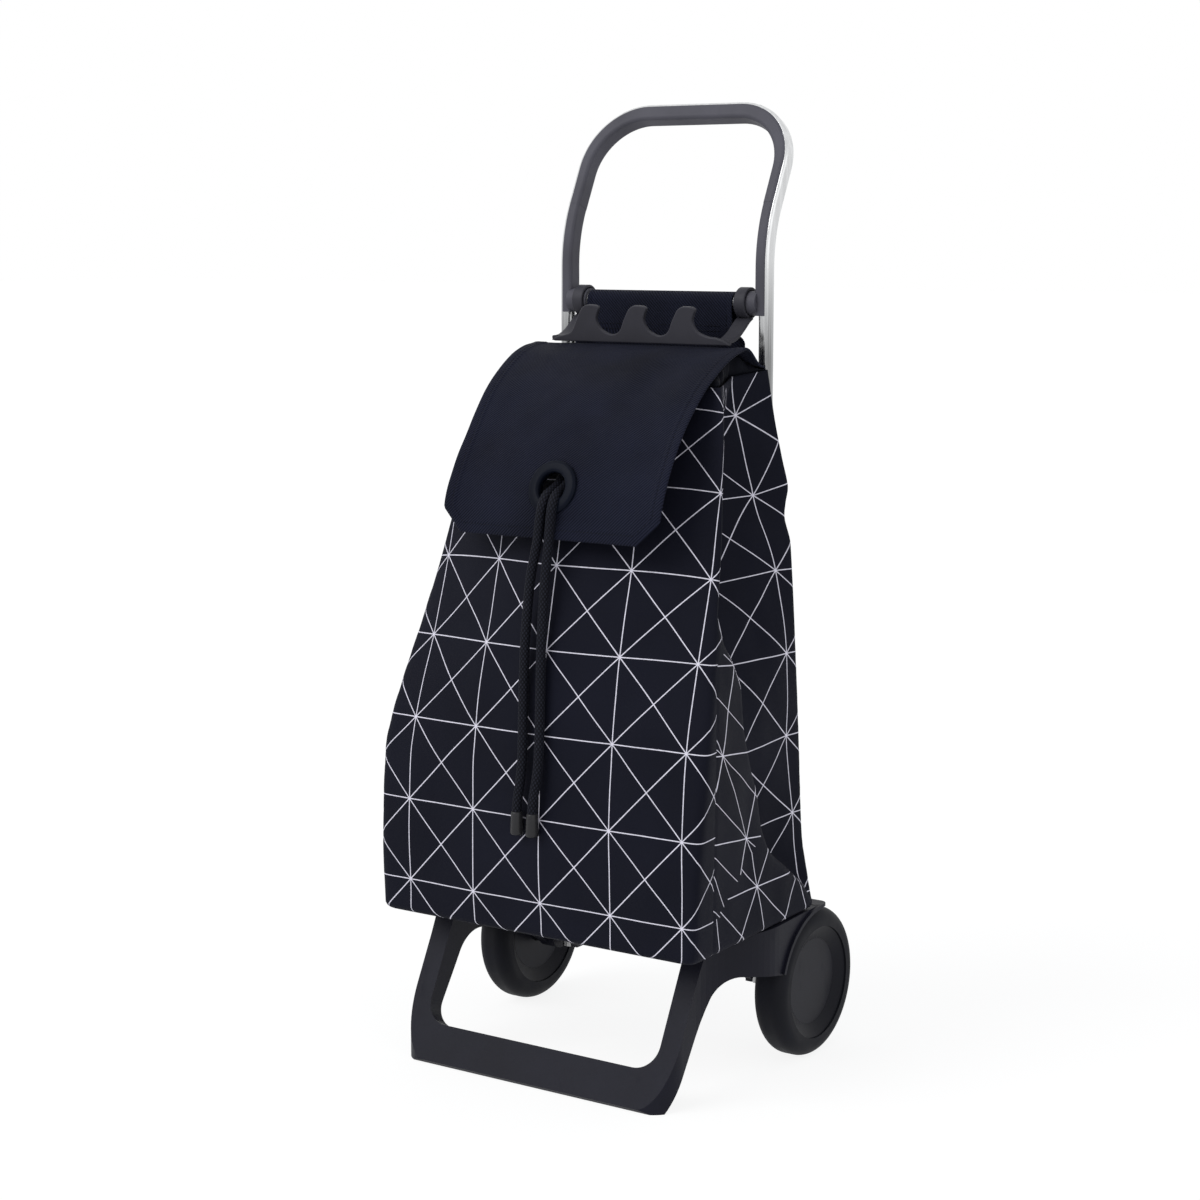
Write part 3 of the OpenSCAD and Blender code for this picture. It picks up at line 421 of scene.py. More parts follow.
PRINT = printed_cloth("print_fabric", (0.0052, 0.0058, 0.0122), ink=(0.84, 0.82, 0.93))
LINING = plain_cloth("lining_fabric", (0.0045, 0.005, 0.0085), roughness=0.55, level=0.05)
CORD = yarn("cord_fabric", (0.0052, 0.0056, 0.0085), braided=True)
THREAD = yarn("thread", (0.0085, 0.009, 0.0135))

# The solids that are shown as they are
SHOWN = {"frame_tube": ALU, "crossbar": ALU, "handle_grip": GRIP, "bracket_rivets": STEEL, "axle": STEEL,
         "axle_clips": STEEL, "wheel_washers": STEEL, "axle_spacers": BUSH, "base_moulding": BASE}
PAIRED = {"leg_bracket": RACK, "hinge_bush": BUSH, "tyre": TYRE, "rim": RIM, "outer_disc": DISC,
          "inner_disc": DISC, "wheel_bush": BUSH}
SHOWN |= {f"{name}_{hand}": finish for name, finish in PAIRED.items() for hand in ("left", "right")}


def paint(mesh, finish):
    mesh.materials.clear()
    mesh.materials.append(finish.owner)


for name, finish in SHOWN.items():
    paint(nodes[name].data, finish)

# Rounded edges of the base, by a modifier that leaves its solid as it is
rounded = nodes["base_moulding"].modifiers.new("rounded", "BEVEL")
rounded.width = 2.2 * MM
rounded.segments = 3
rounded.limit_method = "ANGLE"
rounded.angle_limit = math.radians(38)
rounded.harden_normals = True


# Meshes
def shown(name, mesh, finish):
    """An object of a smooth mesh with one finish."""
    mesh.polygons.foreach_set("use_smooth", np.ones(len(mesh.polygons), bool))
    paint(mesh, finish)
    mesh.update()
    return linked(name, mesh)


def solid(name, verts, faces, finish, corner_uv=None):
    """A smooth mesh object. corner_uv holds cloth coordinates for each corner of each face."""
    mesh = bpy.data.meshes.new(name)
    mesh.from_pydata([tuple(v) for v in verts], [], [tuple(f) for f in faces])
    if corner_uv is not None:
        layer = mesh.uv_layers.new(name="cloth")
        layer.data.foreach_set("uv", np.asarray(corner_uv, np.float32).ravel())
    return shown(name, mesh, finish)


def as_mesh(obj):
    """A new mesh of a curve, or of an object with its modifiers."""
    return bpy.data.meshes.new_from_object(obj.evaluated_get(bpy.context.evaluated_depsgraph_get()))


def sew(obj, thickness, wide, long, **declared):
    """Gives a sheet its thickness, inwards. Its flat size, wide and long, and the other values passed are not
    used.
    """
    made = obj.modifiers.new("thickness", "SOLIDIFY")
    made.thickness = thickness * MM
    made.offset = -1
    made.use_even_offset = False
    mesh = as_mesh(obj)
    obj.modifiers.clear()
    obj.data = mesh


def grid_faces(rows, columns, closed=False):
    ends = [(j, (j + 1) % columns) for j in range(columns if closed else columns - 1)]
    return [(i + j, i + k, i + columns + k, i + columns + j)
            for i in range(0, (rows - 1) * columns, columns) for j, k in ends]


def tube_faces(rows, columns):
    """Faces of a closed tube with a cap at each end."""
    last = (rows - 1) * columns
    return grid_faces(rows, columns, True) + [tuple(range(columns))[::-1], tuple(range(last, last + columns))]


def tidy(obj, way=None):
    """Deletes points that no face uses and turns the faces outwards, or those of an open sheet along way."""
    mesh = bmesh.new()
    mesh.from_mesh(obj.data)
    loose = [v for v in mesh.verts if not v.link_faces]
    bmesh.ops.delete(mesh, geom=loose, context="VERTS")
    bmesh.ops.recalc_face_normals(mesh, faces=mesh.faces[:])
    mesh.to_mesh(obj.data)
    mesh.free()
    total = sum((p.normal * p.area for p in obj.data.polygons), Vector())
    if way and total.dot(Vector(way)) < 0:
        obj.data.flip_normals()
    return obj


def lathe(name, profile, centre, axis, finish, ring=False, sides=72):
    """A turned solid. profile holds radius and height pairs: a closed ring, or a line whose ends are capped."""
    axis = unit(np.array(axis, float))
    first = np.array([1.0, 0, 0] if abs(axis[0]) < 0.9 else [0, 1.0, 0])
    second = np.cross(axis, first)
    verts = [np.array(centre) + axis * h + r * (math.cos(a) * first + math.sin(a) * second)
             for r, h in profile for a in turns(sides)]
    if ring:
        last = (len(profile) - 1) * sides
        faces = grid_faces(len(profile), sides, True)
        faces += [(last + j, last + (j + 1) % sides, (j + 1) % sides, j) for j in range(sides)]
    else:
        faces = tube_faces(len(profile), sides)
    return tidy(solid(name, row(verts), faces, finish))


def stitches(name, lines, pitch=4.4, long=3.1, thick=0.75, sides=6):
    """Rows of short threads. lines holds lists of (point, outward) pairs along each row."""
    # Along one stitch: share of its thickness, and how far it stands above the cloth
    shape = ((0.55, -0.25), (1.0, 0.12), (1.0, 0.12), (0.55, -0.25))
    one = tube_faces(len(shape), sides)
    verts, faces = [], []
    for line in lines:
        points, outs = (np.array(part) for part in zip(*line))
        at = run_length(points)
        for s in np.arange(pitch, at[-1] - pitch, pitch):
            spots = []
            for e in np.linspace(-long / 2, long / 2, len(shape)):
                p, o = (np.array([np.interp(s + e, at, way) for way in part.T]) for part in (points, outs))
                spots.append((p, unit(o)))
            way = unit(spots[-1][0] - spots[0][0])
            first = len(verts)
            for (p, o), (share, lift) in zip(spots, shape):
                side = np.cross(way, o)
                r = thick / 2 * share
                for a in turns(sides):
                    verts.append(p + o * (lift + r * math.sin(a)) + side * r * math.cos(a))
            faces += [tuple(first + k for k in face) for face in one]
    return solid(name, row(verts), faces, THREAD)


def seat(piece, body, slot, *stands_for):
    """Puts a piece on the body it rides on and hides the nodes that it replaces. Its slot is not used."""
    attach(piece, body)
    if stands_for:
        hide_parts(*stands_for)


# Cords: the drawstring's two ends, along the routes of the solids
CORD_D = 9.6
CORD_STEPS, PATH_STEPS = 12, 180
# Depth and height along both cords, and the side that each one lies to
ROUTE = [(-161, 648), (-170, 641), (-178, 633), (-184, 624), (-194, 615), (-206, 610), (-214, 606), (-220, 598),
         (-223, 586), (-224, 560), (-228, 520), (-237, 460), (-245, 400), (-253, 340), (-257, 300), (-257, 289)]
ROUTE_X = {"left": (-4, -4, -4, -4, -4, -4, -4, -4, -5, -8, -14, -14, -11, -7, -10, -11),
           "right": (6, 6, 6, 6, 6, 6, 7, 8, 8, 6, 4, 6, 10, 13, 9, 8)}
# How far the braid's strands stand out, and how deep the valleys between them are
BRAID_OUT, BRAID_DEEP = 0.45, 1.1
TIP_LONG = 24.0
TIP_PROFILE = [(1.0, 0), (5.4, 0), (6.2, 0.4), (6.8, 1.4), (6.9, 3), (6.3, 16), (5.9, 22), (5.5, 23.4),
               (4.6, TIP_LONG), (1.0, TIP_LONG)]
# Where the cords are held, in the eyelet
CORD_HELD = row((0, -210, 608))


def braided_tube(name, line, sides=32, strands=8, lay=5.2, step=0.75):
    """A round cord along line whose surface has the diamonds of a braid."""
    line = resample(line, int(run_length(line)[-1] / step))
    ahead = unit(np.gradient(line, axis=0))
    side = np.cross(ahead[0], (0, 0, 1.0))
    along = run_length(line)
    verts, faces, uv = [], [], []
    for point, tangent, s in zip(line, ahead, along):
        side = unit(side - tangent * (side @ tangent))
        other = np.cross(tangent, side)
        for j, a in enumerate(turns(sides)):
            x = strands * j / sides
            one, two = math.sin(math.pi * (x + s / lay)), math.sin(math.pi * (x - s / lay))
            radius = CORD_D / 2 + BRAID_OUT - BRAID_DEEP * (1 - abs(one * two) ** 0.5)
            verts.append(point + radius * (math.cos(a) * side + math.sin(a) * other))
    for i in range(len(line) - 1):
        for j in range(sides):
            quad = ((i + 1, j), (i + 1, j + 1), (i, j + 1), (i, j))
            faces.append(tuple(a * sides + b % sides for a, b in quad))
            uv.extend((strands * b / sides, along[a] / lay) for a, b in quad)
    faces += [cap[::-1] for cap in tube_faces(len(line), sides)[-2:]]
    uv.extend([(0, 0)] * 2 * sides)
    return solid(name, row(verts), faces, CORD, uv)


def add_cords():
    for hand, sideways in ROUTE_X.items():
        route = np.column_stack([sideways, ROUTE])
        line = through(route, CORD_STEPS)
        path = row(resample(line, PATH_STEPS))
        piece = braided_tube("drawstring_" + hand, line)
        seat(piece, "frame", "cord_fabric", "cord_" + hand)
        foot = route[-1] - (0, 0, TIP_LONG)
        tip = lathe("cord_end_" + hand, TIP_PROFILE, foot, (0, 0, 1), TIP, sides=40)
        seat(tip, "frame", "rack_plastic", "cord_tip_" + hand)
        for part in (piece, tip):
            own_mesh(part)


# Bag: one shell of printed cloth, lofted through smooth outlines, with folded gussets
BAG_REAR = -14.7
BAG_LOW = 156.8
BAG_H = 558.2
BAG_DEPTH = 234.0
BAG_TILT = 9.03
RIM_RISE = 13.5
FOOT_ROUND = 8.0
BAG_CLOTH = 1.6
# Points across the front, a gusset and the back, and levels above the foot
FRONT_N, SIDE_N, BACK_N, LEVELS = 90, 84, 56, 104
STARTS = np.cumsum([0, FRONT_N, SIDE_N, BACK_N])
AROUND = FRONT_N + 2 * SIDE_N + BACK_N
# The outline by height above the foot: half widths, how far the front stands out, swells and wraps round the
# corners, and how far its left corner is drawn in
rear_wide = eased([(0, 201), (36, 194), (80, 186), (176, 181), (402, 168), (BAG_H, 138)])
front_wide = eased([(0, 195), (90, 199), (176, 201), (402, 175), (447, 167), (529, 149.5), (BAG_H, 140)])
front_out = eased([(0, BAG_DEPTH), (90, 231), (176, 223), (402, 152), (BAG_H, 101)])
front_bulge = eased([(0, 0), (176, 8), (402, 33), (500, 17), (BAG_H, 4)])
seam_wrap = eased([(0, 38), (120, 32), (200, 22), (287, 8), (330, 4), (BAG_H, 3)])
left_in = eased([(0, 0), (170, 0), (200, 3), (250, 9), (310, 12), (400, 8.5), (480, 5), (BAG_H, 0)])
# The folded gusset: where it creases, where its valley lies and how deep, and how its rear edge is pinched
crease_at = eased([(0, 1.0), (28, 0.92), (49, 0.82), (88, 0.63), (143, 0.55), (181, 0.46), (224, 0.38),
                   (262, 0.34), (287, 0.23), (315, 0.09), (340, 0.02), (BAG_H, 0.02)])
valley_at = eased([(0, 1.0), (28, 0.96), (49, 0.88), (88, 0.69), (143, 0.61), (181, 0.52), (224, 0.44),
                   (262, 0.4), (287, 0.33), (320, 0.25), (367, 0.25), (447, 0.3), (490, 0.42), (529, 0.6),
                   (BAG_H, 0.62)])
valley_deep = eased([(0, 0), (28, 8), (49, 16), (88, 22), (143, 22), (192, 22), (230, 28), (279, 46), (320, 60),
                     (367, 68), (447, 66), (490, 48), (529, 34), (BAG_H, 22)])
rear_pinch = eased([(0, 0), (390, 0), (418, -5), (432, -2), (452, 4), (480, 2), (520, 0), (BAG_H, 0)])
# The print behind the fold: its upright line's distance from the rear edge, its level lines by height above the
# floor, and their slant before and behind the upright line
gusset_line = eased([(13, 14), (105, 17), (192, 24), (280, 18), (323, 20), (367, 25), (403, 33), (447, 42),
                     (529, 45), (BAG_H, 45)])
gusset_rows = eased([(88, -4), (175, -3), (262, -2), (346, -1), (432.7, 0), (520.5, 1), (599.5, 2), (677, 3),
                     (755, 4)])
fore_slant = eased([(0, 0.1), (262, 0.1), (349, 0.067), (436, 0.03), (524, 0.11), (604, 0.06), (686, 0.03),
                    (740, 0.03)])
rear_slant = eased([(0, 0), (524, 0), (604, 0.25), (686, 0.33), (740, 0.33)])
# The print before the fold: the place of a crossing and the slant of its lines, on the upper part and on the tuck
# below it, and a point and slope of the border between them. Above FORE_FLAT the front's print goes on
FORE_Y, FORE_Z, FORE_UPRIGHT, FORE_LEVEL, FORE_SHARE = -142, 265, 0.6, 0.12, 0.975
TUCK_Y, TUCK_Z, TUCK_UPRIGHT = -125, 212, 0.19
BORDER_Y, BORDER_Z, BORDER_SLOPE = -130.0, 250.0, 0.72
FORE_FLAT = 300.0
# The print on the front: its lowest row, the rows' spacing, how far it lies to the side, and how much higher its
# rows lie than evenly spaced ones, in the middle and at the edges
FIRST_ROW = 42.0
ROW_SHARE = 1.009
front_shift = eased([(160, -13), (364, -8), (524, -4.2), (604, 2.4), (686, 10), (716, 14)])
row_rise = eased([(0, 0), (230, 1), (367, 2), (447, 5), (BAG_H, 9)])
row_lift = eased([(0, 0), (280, 0), (367, -5), (447, -1), (529, 2), (BAG_H, 3)])


def gusset_push(t, h):
    """How far a gusset stands out from the straight line between its edges, t from front to rear."""
    te, tv, deep = crease_at(h), valley_at(h), valley_deep(h)
    before = np.clip((t - te) / max(tv - te, 0.01), 0, 1)
    behind = np.clip((t - tv) / max(1 - tv, 0.02), 0, 1)
    return np.where(t < tv, -deep * before, -deep * (1 - behind))


def bag_outline(h):
    """Four panels of the bag's outline at height h: front, right gusset, back and left gusset."""
    wf, wr = front_wide(h), rear_wide(h) + rear_pinch(h)
    yf = BAG_REAR - front_out(h)
    s = np.linspace(-1, 1, 61)
    front = np.stack([wf * s, yf - front_bulge(h) * (1 - np.abs(s) ** 1.55)], axis=1)
    t = np.linspace(0, 1, 161)
    side = np.stack([wf + (wr - wf) * t + gusset_push(t, h), yf + (BAG_REAR - yf) * t], axis=1)
    cut = max(1, int(np.searchsorted(side[:, 1], yf + seam_wrap(h))))
    wrap, gusset = side[:cut + 1], side[cut:]
    mirror = np.array([-1, 1])
    whole = np.concatenate([(wrap * mirror)[::-1], front[1:-1], wrap])
    s = np.linspace(1, -1, 41)
    swell = 3.0 * (1 - s ** 2) * fade(0, 60, h) * fade(45, 100, BAG_H - h)
    back = np.stack([wr * s, BAG_REAR + swell], axis=1)
    return [resample(whole, FRONT_N), resample(gusset, SIDE_N), resample(back, BACK_N),
            resample((gusset * mirror)[::-1], SIDE_N)]


def foot_height(y):
    """Height of the bag's tilted foot at a depth."""
    return BAG_TILT * (y - BAG_REAR + BAG_DEPTH) / BAG_DEPTH


def bag_ring(h):
    """The outline at height h as one smooth ring of points, which rises to the rear near the rim."""
    ring = np.concatenate([p[:-1] for p in bag_outline(h)])
    for _ in range(3):
        ring = 0.5 * ring + 0.25 * (np.roll(ring, 1, 0) + np.roll(ring, -1, 0))
    back = np.clip((ring[:, 1] - BAG_REAR + front_out(h)) / front_out(h), 0, 1)
    ring[:, 0] += left_in(h) * (1 - back) * np.clip(-ring[:, 0] / front_wide(h), 0, 1)
    tuck_in = FOOT_ROUND * (1 - math.sqrt(1 - max(0, 1 - h / FOOT_ROUND) ** 2))
    middle = (ring.min(0) + ring.max(0)) / 2
    ring = middle + (ring - middle) * (1 - tuck_in / (ring.max(0) - middle))
    z = BAG_LOW + h + (1 - h / BAG_H) * foot_height(ring[:, 1])
    return np.column_stack([ring, z + RIM_RISE * back ** 1.3 * fade(BAG_H - 90, BAG_H, h)])


def slacken(verts, heights):
    """Moves the bag's points out and in by folds, slack and the pull of the seams."""
    ahead = np.roll(verts, -1, 1) - np.roll(verts, 1, 1)
    out = unit(np.stack([ahead[..., 1], -ahead[..., 0], np.zeros(ahead.shape[:2])], axis=2))
    for i, h in enumerate(heights):
        ends = fade(0, 30, h) * fade(0, 24, BAG_H - h)
        sewn = fade(320, 260, h)
        for j in range(AROUND):
            p = verts[i, j]
            near = min(abs(j - k) for k in (*STARTS, AROUND))  # points away from a seam
            soft = 2.2 * ripple(p, 95, 3.1) + 1.1 * ripple(p, 42, 8.3)
            fold = 1.5 * ripple(p * (1.2, 1.2, 0.3), 30, 5.7)
            of_soft, of_fold = (0.9, 0.35) if j < FRONT_N else (1.3, 0.9)
            push = (soft * of_soft + fold * of_fold) * fade(0, 12, near)
            if STARTS[2] <= j < STARTS[3]:
                push *= fade(45, 90, BAG_H - h)
            pucker = 0.3 * ripple((0, 0, p[2]), 9, 1.0) * max(0, 1 - near / 4) * sewn
            dip = 0.7 * sewn if near == 0 else 0.0
            verts[i, j] += out[i, j] * ((push + pucker) * ends - dip)


def bag_shell():
    heights = np.concatenate([[0, 0.8, 2, 3.8], np.linspace(0.012, 1, LEVELS) * BAG_H])
    flat = np.array([bag_ring(h) for h in heights])
    spans = [[run_length(p) for p in bag_outline(h)] for h in heights]
    verts = flat.copy()
    slacken(verts, heights)
    # Bottom: rings drawn in to the middle
    low = verts[0]
    middle = low.mean(0)
    inner = [middle + (low - middle) * (share, share, 1) + (0, 0, 0.6) for share in (0.04, 0.2, 0.5, 0.8, 0.97)]
    stack = np.concatenate([inner, verts])
    faces = [tuple(reversed(range(AROUND)))] + grid_faces(len(stack), AROUND, True)
    corner = [(0.0, 0.0)] * AROUND
    front_rise = run_length(flat[:, FRONT_N // 2])
    for i in range(len(stack) - 1):
        level, upper = max(i - len(inner), 0), max(i + 1 - len(inner), 0)
        for j in range(AROUND):
            panel = int(np.searchsorted(STARTS, j, "right")) - 1
            column = j - STARTS[panel]
            spots = [(level, column), (level, column + 1), (upper, column + 1), (upper, column)]
            ends = [flat[lev, (STARTS[panel] + c) % AROUND] for lev, c in spots]
            part = gusset_part(np.mean(ends, axis=0), heights[level]) if panel in (1, 3) else "flat"
            for (lev, c), point in zip(spots, ends):
                corner.append(cloth_place(panel, part, c, heights[lev], spans[lev], front_rise[lev], point))
    return solid("bag_shell", row(stack.reshape(-1, 3)), faces, PRINT, corner)


def gusset_part(point, h):
    """Where a place on a gusset lies: behind the fold, with the front, before the fold or on the tuck there."""
    yf = BAG_REAR - front_out(h)
    if point[1] > yf + (BAG_REAR - yf) * 0.5 * (crease_at(h) + valley_at(h)):
        return "rear"
    if h > FORE_FLAT:
        return "front"
    return "tuck" if point[2] < BORDER_Z + BORDER_SLOPE * (point[1] - BORDER_Y) else "fore"


def cloth_place(panel, part, column, h, spans, rise, point):
    """Cloth coordinates in metres of a corner of the bag, so that the print runs as it was cut and sewn."""
    _, y, z = point
    along = spans[panel]
    level = h + BAG_LOW
    before = along[column] if panel == 1 else along[-1] - along[column]
    if part == "front":
        u = (spans[0][-1] / 2 + before) * (1 if panel == 1 else -1) + front_shift(level)
        return u * MM, (rise - FIRST_ROW - row_lift(h)) * ROW_SHARE * MM
    if part == "flat":
        u = along[column] - along[-1] / 2
        edge = min(1, abs(2 * u / along[-1])) ** 4
        lift = row_rise(h) * (1 - edge) + row_lift(h) * edge
        shift = front_shift(level) if panel == 0 else 0
        return (u + shift) * MM, (rise - FIRST_ROW - lift) * ROW_SHARE * MM
    if part == "rear":
        u = (along[-1] - before) - gusset_line(h) - 0.52 * rear_pinch(h)
        slant = fore_slant if u > 0 else rear_slant
        return u * MM, gusset_rows(level + u * slant(level)) * PRINT_V
    if part == "fore":
        u = FORE_Y + FORE_UPRIGHT * (FORE_Z - z) - y
        return u * MM, (z + FORE_LEVEL * (y - FORE_Y) - FORE_Z) * FORE_SHARE * MM
    return (TUCK_Y + TUCK_UPRIGHT * (TUCK_Z - z) - y) * MM, (z - TUCK_Z) * MM


def add_bag():
    made = bag_shell()
    girth = max(sum(run_length(p)[-1] for p in bag_outline(h)) for h in (0, 100, 200, 300))
    sew(made, BAG_CLOTH, girth, BAG_H + BAG_DEPTH, held="hung", rests_on=["hanger_cloth"])
    seat(made, "frame", "print_fabric", "bag_body")
    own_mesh(made)


# Board in the bottom of the bag
BOARD_GAP = 9.0
BOARD_N = 120
BOARD_EDGE = ((1.5, 3.6), (0, 4.2), (0, 6.0), (1.5, 6.6))  # inset and height of its rings


def add_board():
    outline = np.concatenate([p[:-1] for p in bag_outline(0)])
    middle = outline.mean(0)
    half = np.abs(outline - middle).max(0)
    outline = resample(ring_of(outline), BOARD_N)[:-1]
    inner = middle + (outline - middle) * (1 - BOARD_GAP / half)
    rings = []
    for inset, lift in BOARD_EDGE:
        flat = middle + (inner - middle) * (1 - inset / half)
        rings.append(np.column_stack([flat, BAG_LOW + lift + foot_height(flat[:, 1])]))
    made = solid("bag_board", row(np.concatenate(rings)), tube_faces(len(rings), BOARD_N), BOARD)
    seat(made, "frame", "board", "bag_base_board")
    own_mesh(made)


# Flap: one sheet from the hanger over the top and down the front
FLAP_REAR = [(-14.7, 746), (-20, 747.2), (-28, 748.9), (-36, 750), (-44, 750.2)]
FLAP_Y, FLAP_Z, FLAP_R = 2.0, 538.0, 218.0
FLAP_ARC_FROM, FLAP_TO = 104.0, 173.5
FLAP_HALF = 133.0
FLAP_CUT = 24.0
FLAP_TAIL = 10.0
FLAP_CLOTH = 2.3
HEM = 13.0
HEM_SEAM = HEM - 3.2
HEM_LINES = np.array([0, 1, 2.4, HEM - 4.4, HEM_SEAM, HEM - 2, HEM, HEM + 1.2])
EYELET_AT = 160.0
EYELET_HOLE = 24.0
FOLD_START = row((0, -44.0, 755.0))
FOLD_END = row((0, -104.0, 727.0))


def flap_profile():
    """Points along the flap's outer face from its rear edge, their outward way, and the length run."""
    arc = [(FLAP_Y + FLAP_R * math.cos(a), FLAP_Z + FLAP_R * math.sin(a))
           for a in np.radians(np.linspace(FLAP_ARC_FROM, FLAP_TO, 80))]
    points = resample(through(FLAP_REAR + arc, 4), 300)
    ahead = np.gradient(points, axis=0)
    return points, unit(np.stack([ahead[:, 1], -ahead[:, 0]], axis=1)), run_length(points)


FLAP_POINTS, FLAP_OUT, FLAP_AT = flap_profile()
FLAP_LONG = float(FLAP_AT[-1])
EYELET_S = FLAP_LONG - math.radians(FLAP_TO - EYELET_AT) * FLAP_R
# Dents and swellings: height, place across and along the flap, and reach both ways
FLAP_DENTS = ((-3.6, 74, 110, 24, 40), (1.6, 42, 100, 20, 46), (-2.0, -96, 190, 20, 34),
              (2.6, 0, EYELET_S, 55, 55))


def flap_droop(x, y):
    """How far the flap's free rear ends hang, beside the hanger."""
    return 15 * fade(84, 131, abs(x)) * fade(-52, -20, y)


def flap_point(x, s):
    """Point of the flap's outer face at x and s along it from the rear, with its slack, and the outward way."""
    y, z, oy, oz = (float(np.interp(s, FLAP_AT, line)) for line in (*FLAP_POINTS.T, *FLAP_OUT.T))
    p = np.array([x, y, z])
    out = np.array([0, oy, oz]) * (-1 if oz < 0 else 1)
    loose = fade(20, 60, s)
    calm = fade(30, 60, math.hypot(x, s - EYELET_S))
    slack = (1.6 * ripple(p, 70, 2.4) + 0.8 * ripple(p, 30, 6.6)) * loose * (0.25 + 0.75 * calm)
    edge = 2.2 * fade(100, 133, abs(x)) * math.sin(s * 0.029 + (1.2 if x > 0 else 0)) * loose
    corner = -2.5 * fade(105, 133, abs(x)) * fade(FLAP_LONG - 55, FLAP_LONG, s)
    full = 2.0 * fade(12, 40, s) * fade(90, 50, s)
    full += 4.5 * fade(40, 85, s) * fade(200, 120, s)
    flare = 5.5 * fade(FLAP_LONG - 95, FLAP_LONG, s)
    dents = sum(high * math.exp(-((x - at_x) / wide) ** 2 - ((s - at_s) / long) ** 2)
                for high, at_x, at_s, wide, long in FLAP_DENTS)
    tail = np.array([0, 3 * fade(10, 3, s), -FLAP_TAIL * fade(3, 0, s)]) * fade(98, 120, abs(x))
    hang = np.array([0, 0, flap_droop(x, y)])
    return p + out * (slack + edge + corner + full + flare + dents) + tail - hang, out


def flap_sheet():
    long = np.unique(np.concatenate([np.arange(0, FLAP_LONG - 18, 3.2), FLAP_LONG - HEM_LINES]))
    wide = np.unique(np.concatenate([np.linspace(0, 0.88, 36), 1 - HEM_LINES / FLAP_HALF]))
    wide = np.concatenate([-wide[:0:-1], wide])
    verts, corners = [], []
    for s in long:
        half = FLAP_HALF - max(0.0, s - (FLAP_LONG - FLAP_CUT))
        for x in wide * half:
            p, out = flap_point(x, s)
            inset = min(half - abs(x), FLAP_LONG - s)
            hem = 0.7 * fade(HEM + 1.2, HEM, inset) - 0.5 * fade(1.6, 0, abs(inset - HEM_SEAM))
            hem -= 0.8 * fade(1.6, 0, inset)
            verts.append(p + out * hem)
            corners.append((x * MM, s * MM))
    centre = flap_point(0, EYELET_S)[0]
    faces = [face for face in grid_faces(len(long), len(wide))
             if np.linalg.norm(np.mean([verts[k] for k in face], axis=0) - centre) >= EYELET_HOLE]
    uv = [corners[k] for face in faces for k in face]
    return tidy(solid("flap_cloth", row(verts), faces, TWILL, uv), (0, -1, 1))


def add_flap():
    made = flap_sheet()
    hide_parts("flap", "flap_yoke")
    slope = FLAP_CUT + HEM_SEAM * 0.42
    left, right = ([(side * (FLAP_HALF - HEM_SEAM), s) for s in np.linspace(14, FLAP_LONG - slope, 90)]
                   for side in (-1, 1))
    low = [(x, FLAP_LONG - HEM_SEAM) for x in np.linspace(-FLAP_HALF + slope, FLAP_HALF - slope, 60)]
    seam = [flap_point(x, s) for x, s in resample(left + low + right[::-1], 420)]
    thread = stitches("flap_stitching", [[(p + out * 0.25, out) for p, out in seam]])
    sew(made, FLAP_CLOTH, 2 * FLAP_HALF, FLAP_LONG + FLAP_TAIL, held="draped",
        rests_on=["gathered_collar", "hanger_cloth"], with_pieces=[thread])
    for piece in (made, thread):
        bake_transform(piece)


# Eyelet: two moulded halves round the hole in the flap
EYELET_PROFILE = [(16, -4.6), (16, 1.6), (16.5, 3), (17.6, 4), (19.2, 4.4), (22, 4.1), (25, 4.1),
                  (26.8, 3.6), (28, 2.4), (28.5, 0.9), (28.3, 0.1), (19.4, 0.1), (18.8, -2.6), (26, -2.7),
                  (26.5, -3.2), (26.1, -3.8), (24.5, -4.2), (18, -4.4), (16.8, -4.6)]


def add_eyelet():
    made = lathe("eyelet", EYELET_PROFILE, *flap_point(0, EYELET_S), EYELET, ring=True)
    seat(made, "flap", "eyelet_plastic", "eyelet_ring", "eyelet_washer")


# Collar: thin lining gathered by the drawstring, with a rolled tunnel round the mouth
COLLAR_IN = 5.0
COLLAR_CLOTH = 0.9
COLLAR_MIDDLE = np.array([0, BAG_REAR - 50.5])
RIM_HALF = (133, 46.5)
MOUTH_HALF = (66, 27)
MOUTH_POWER = 3.4
MOUTH_RISE = 14.5
PLEATS, FINE_PLEATS = 30, 71
# Share of the way in to the mouth, share of the room under the flap, height of the mouth's part, pleat share
COLLAR = [(0, -0.9, 0, 0.1), (0, -0.3, 0, 0.2), (-0.004, 0.15, 0, 0.5), (-0.006, 0.4, 0, 0.8),
          (0, 0.65, 0, 1), (0.03, 0.86, 0, 1.1), (0.08, 0.97, 0, 1.2), (0.16, 1, 0.05, 1.2),
          (0.28, 1, 0.2, 1.1), (0.42, 1, 0.45, 1), (0.58, 1, 0.7, 0.9), (0.74, 1, 0.9, 0.8),
          (0.88, 1, 1, 0.7), (0.97, 1, 1.12, 0.6), (1.05, 1, 1.18, 0.5), (1.12, 1, 1.06, 0.5),
          (1.14, 1, 0.84, 0.5), (1.09, 1, 0.64, 0.5), (1, 1, 0.52, 0.5)]


def under_flap(x, y):
    """Height just under the flap at a place."""
    over = np.interp(-y, -FLAP_POINTS[:, 0], FLAP_POINTS[:, 1])
    return float(over) - flap_droop(x, y) - 6.0 + 2.6 * fade(84, 112, abs(x))


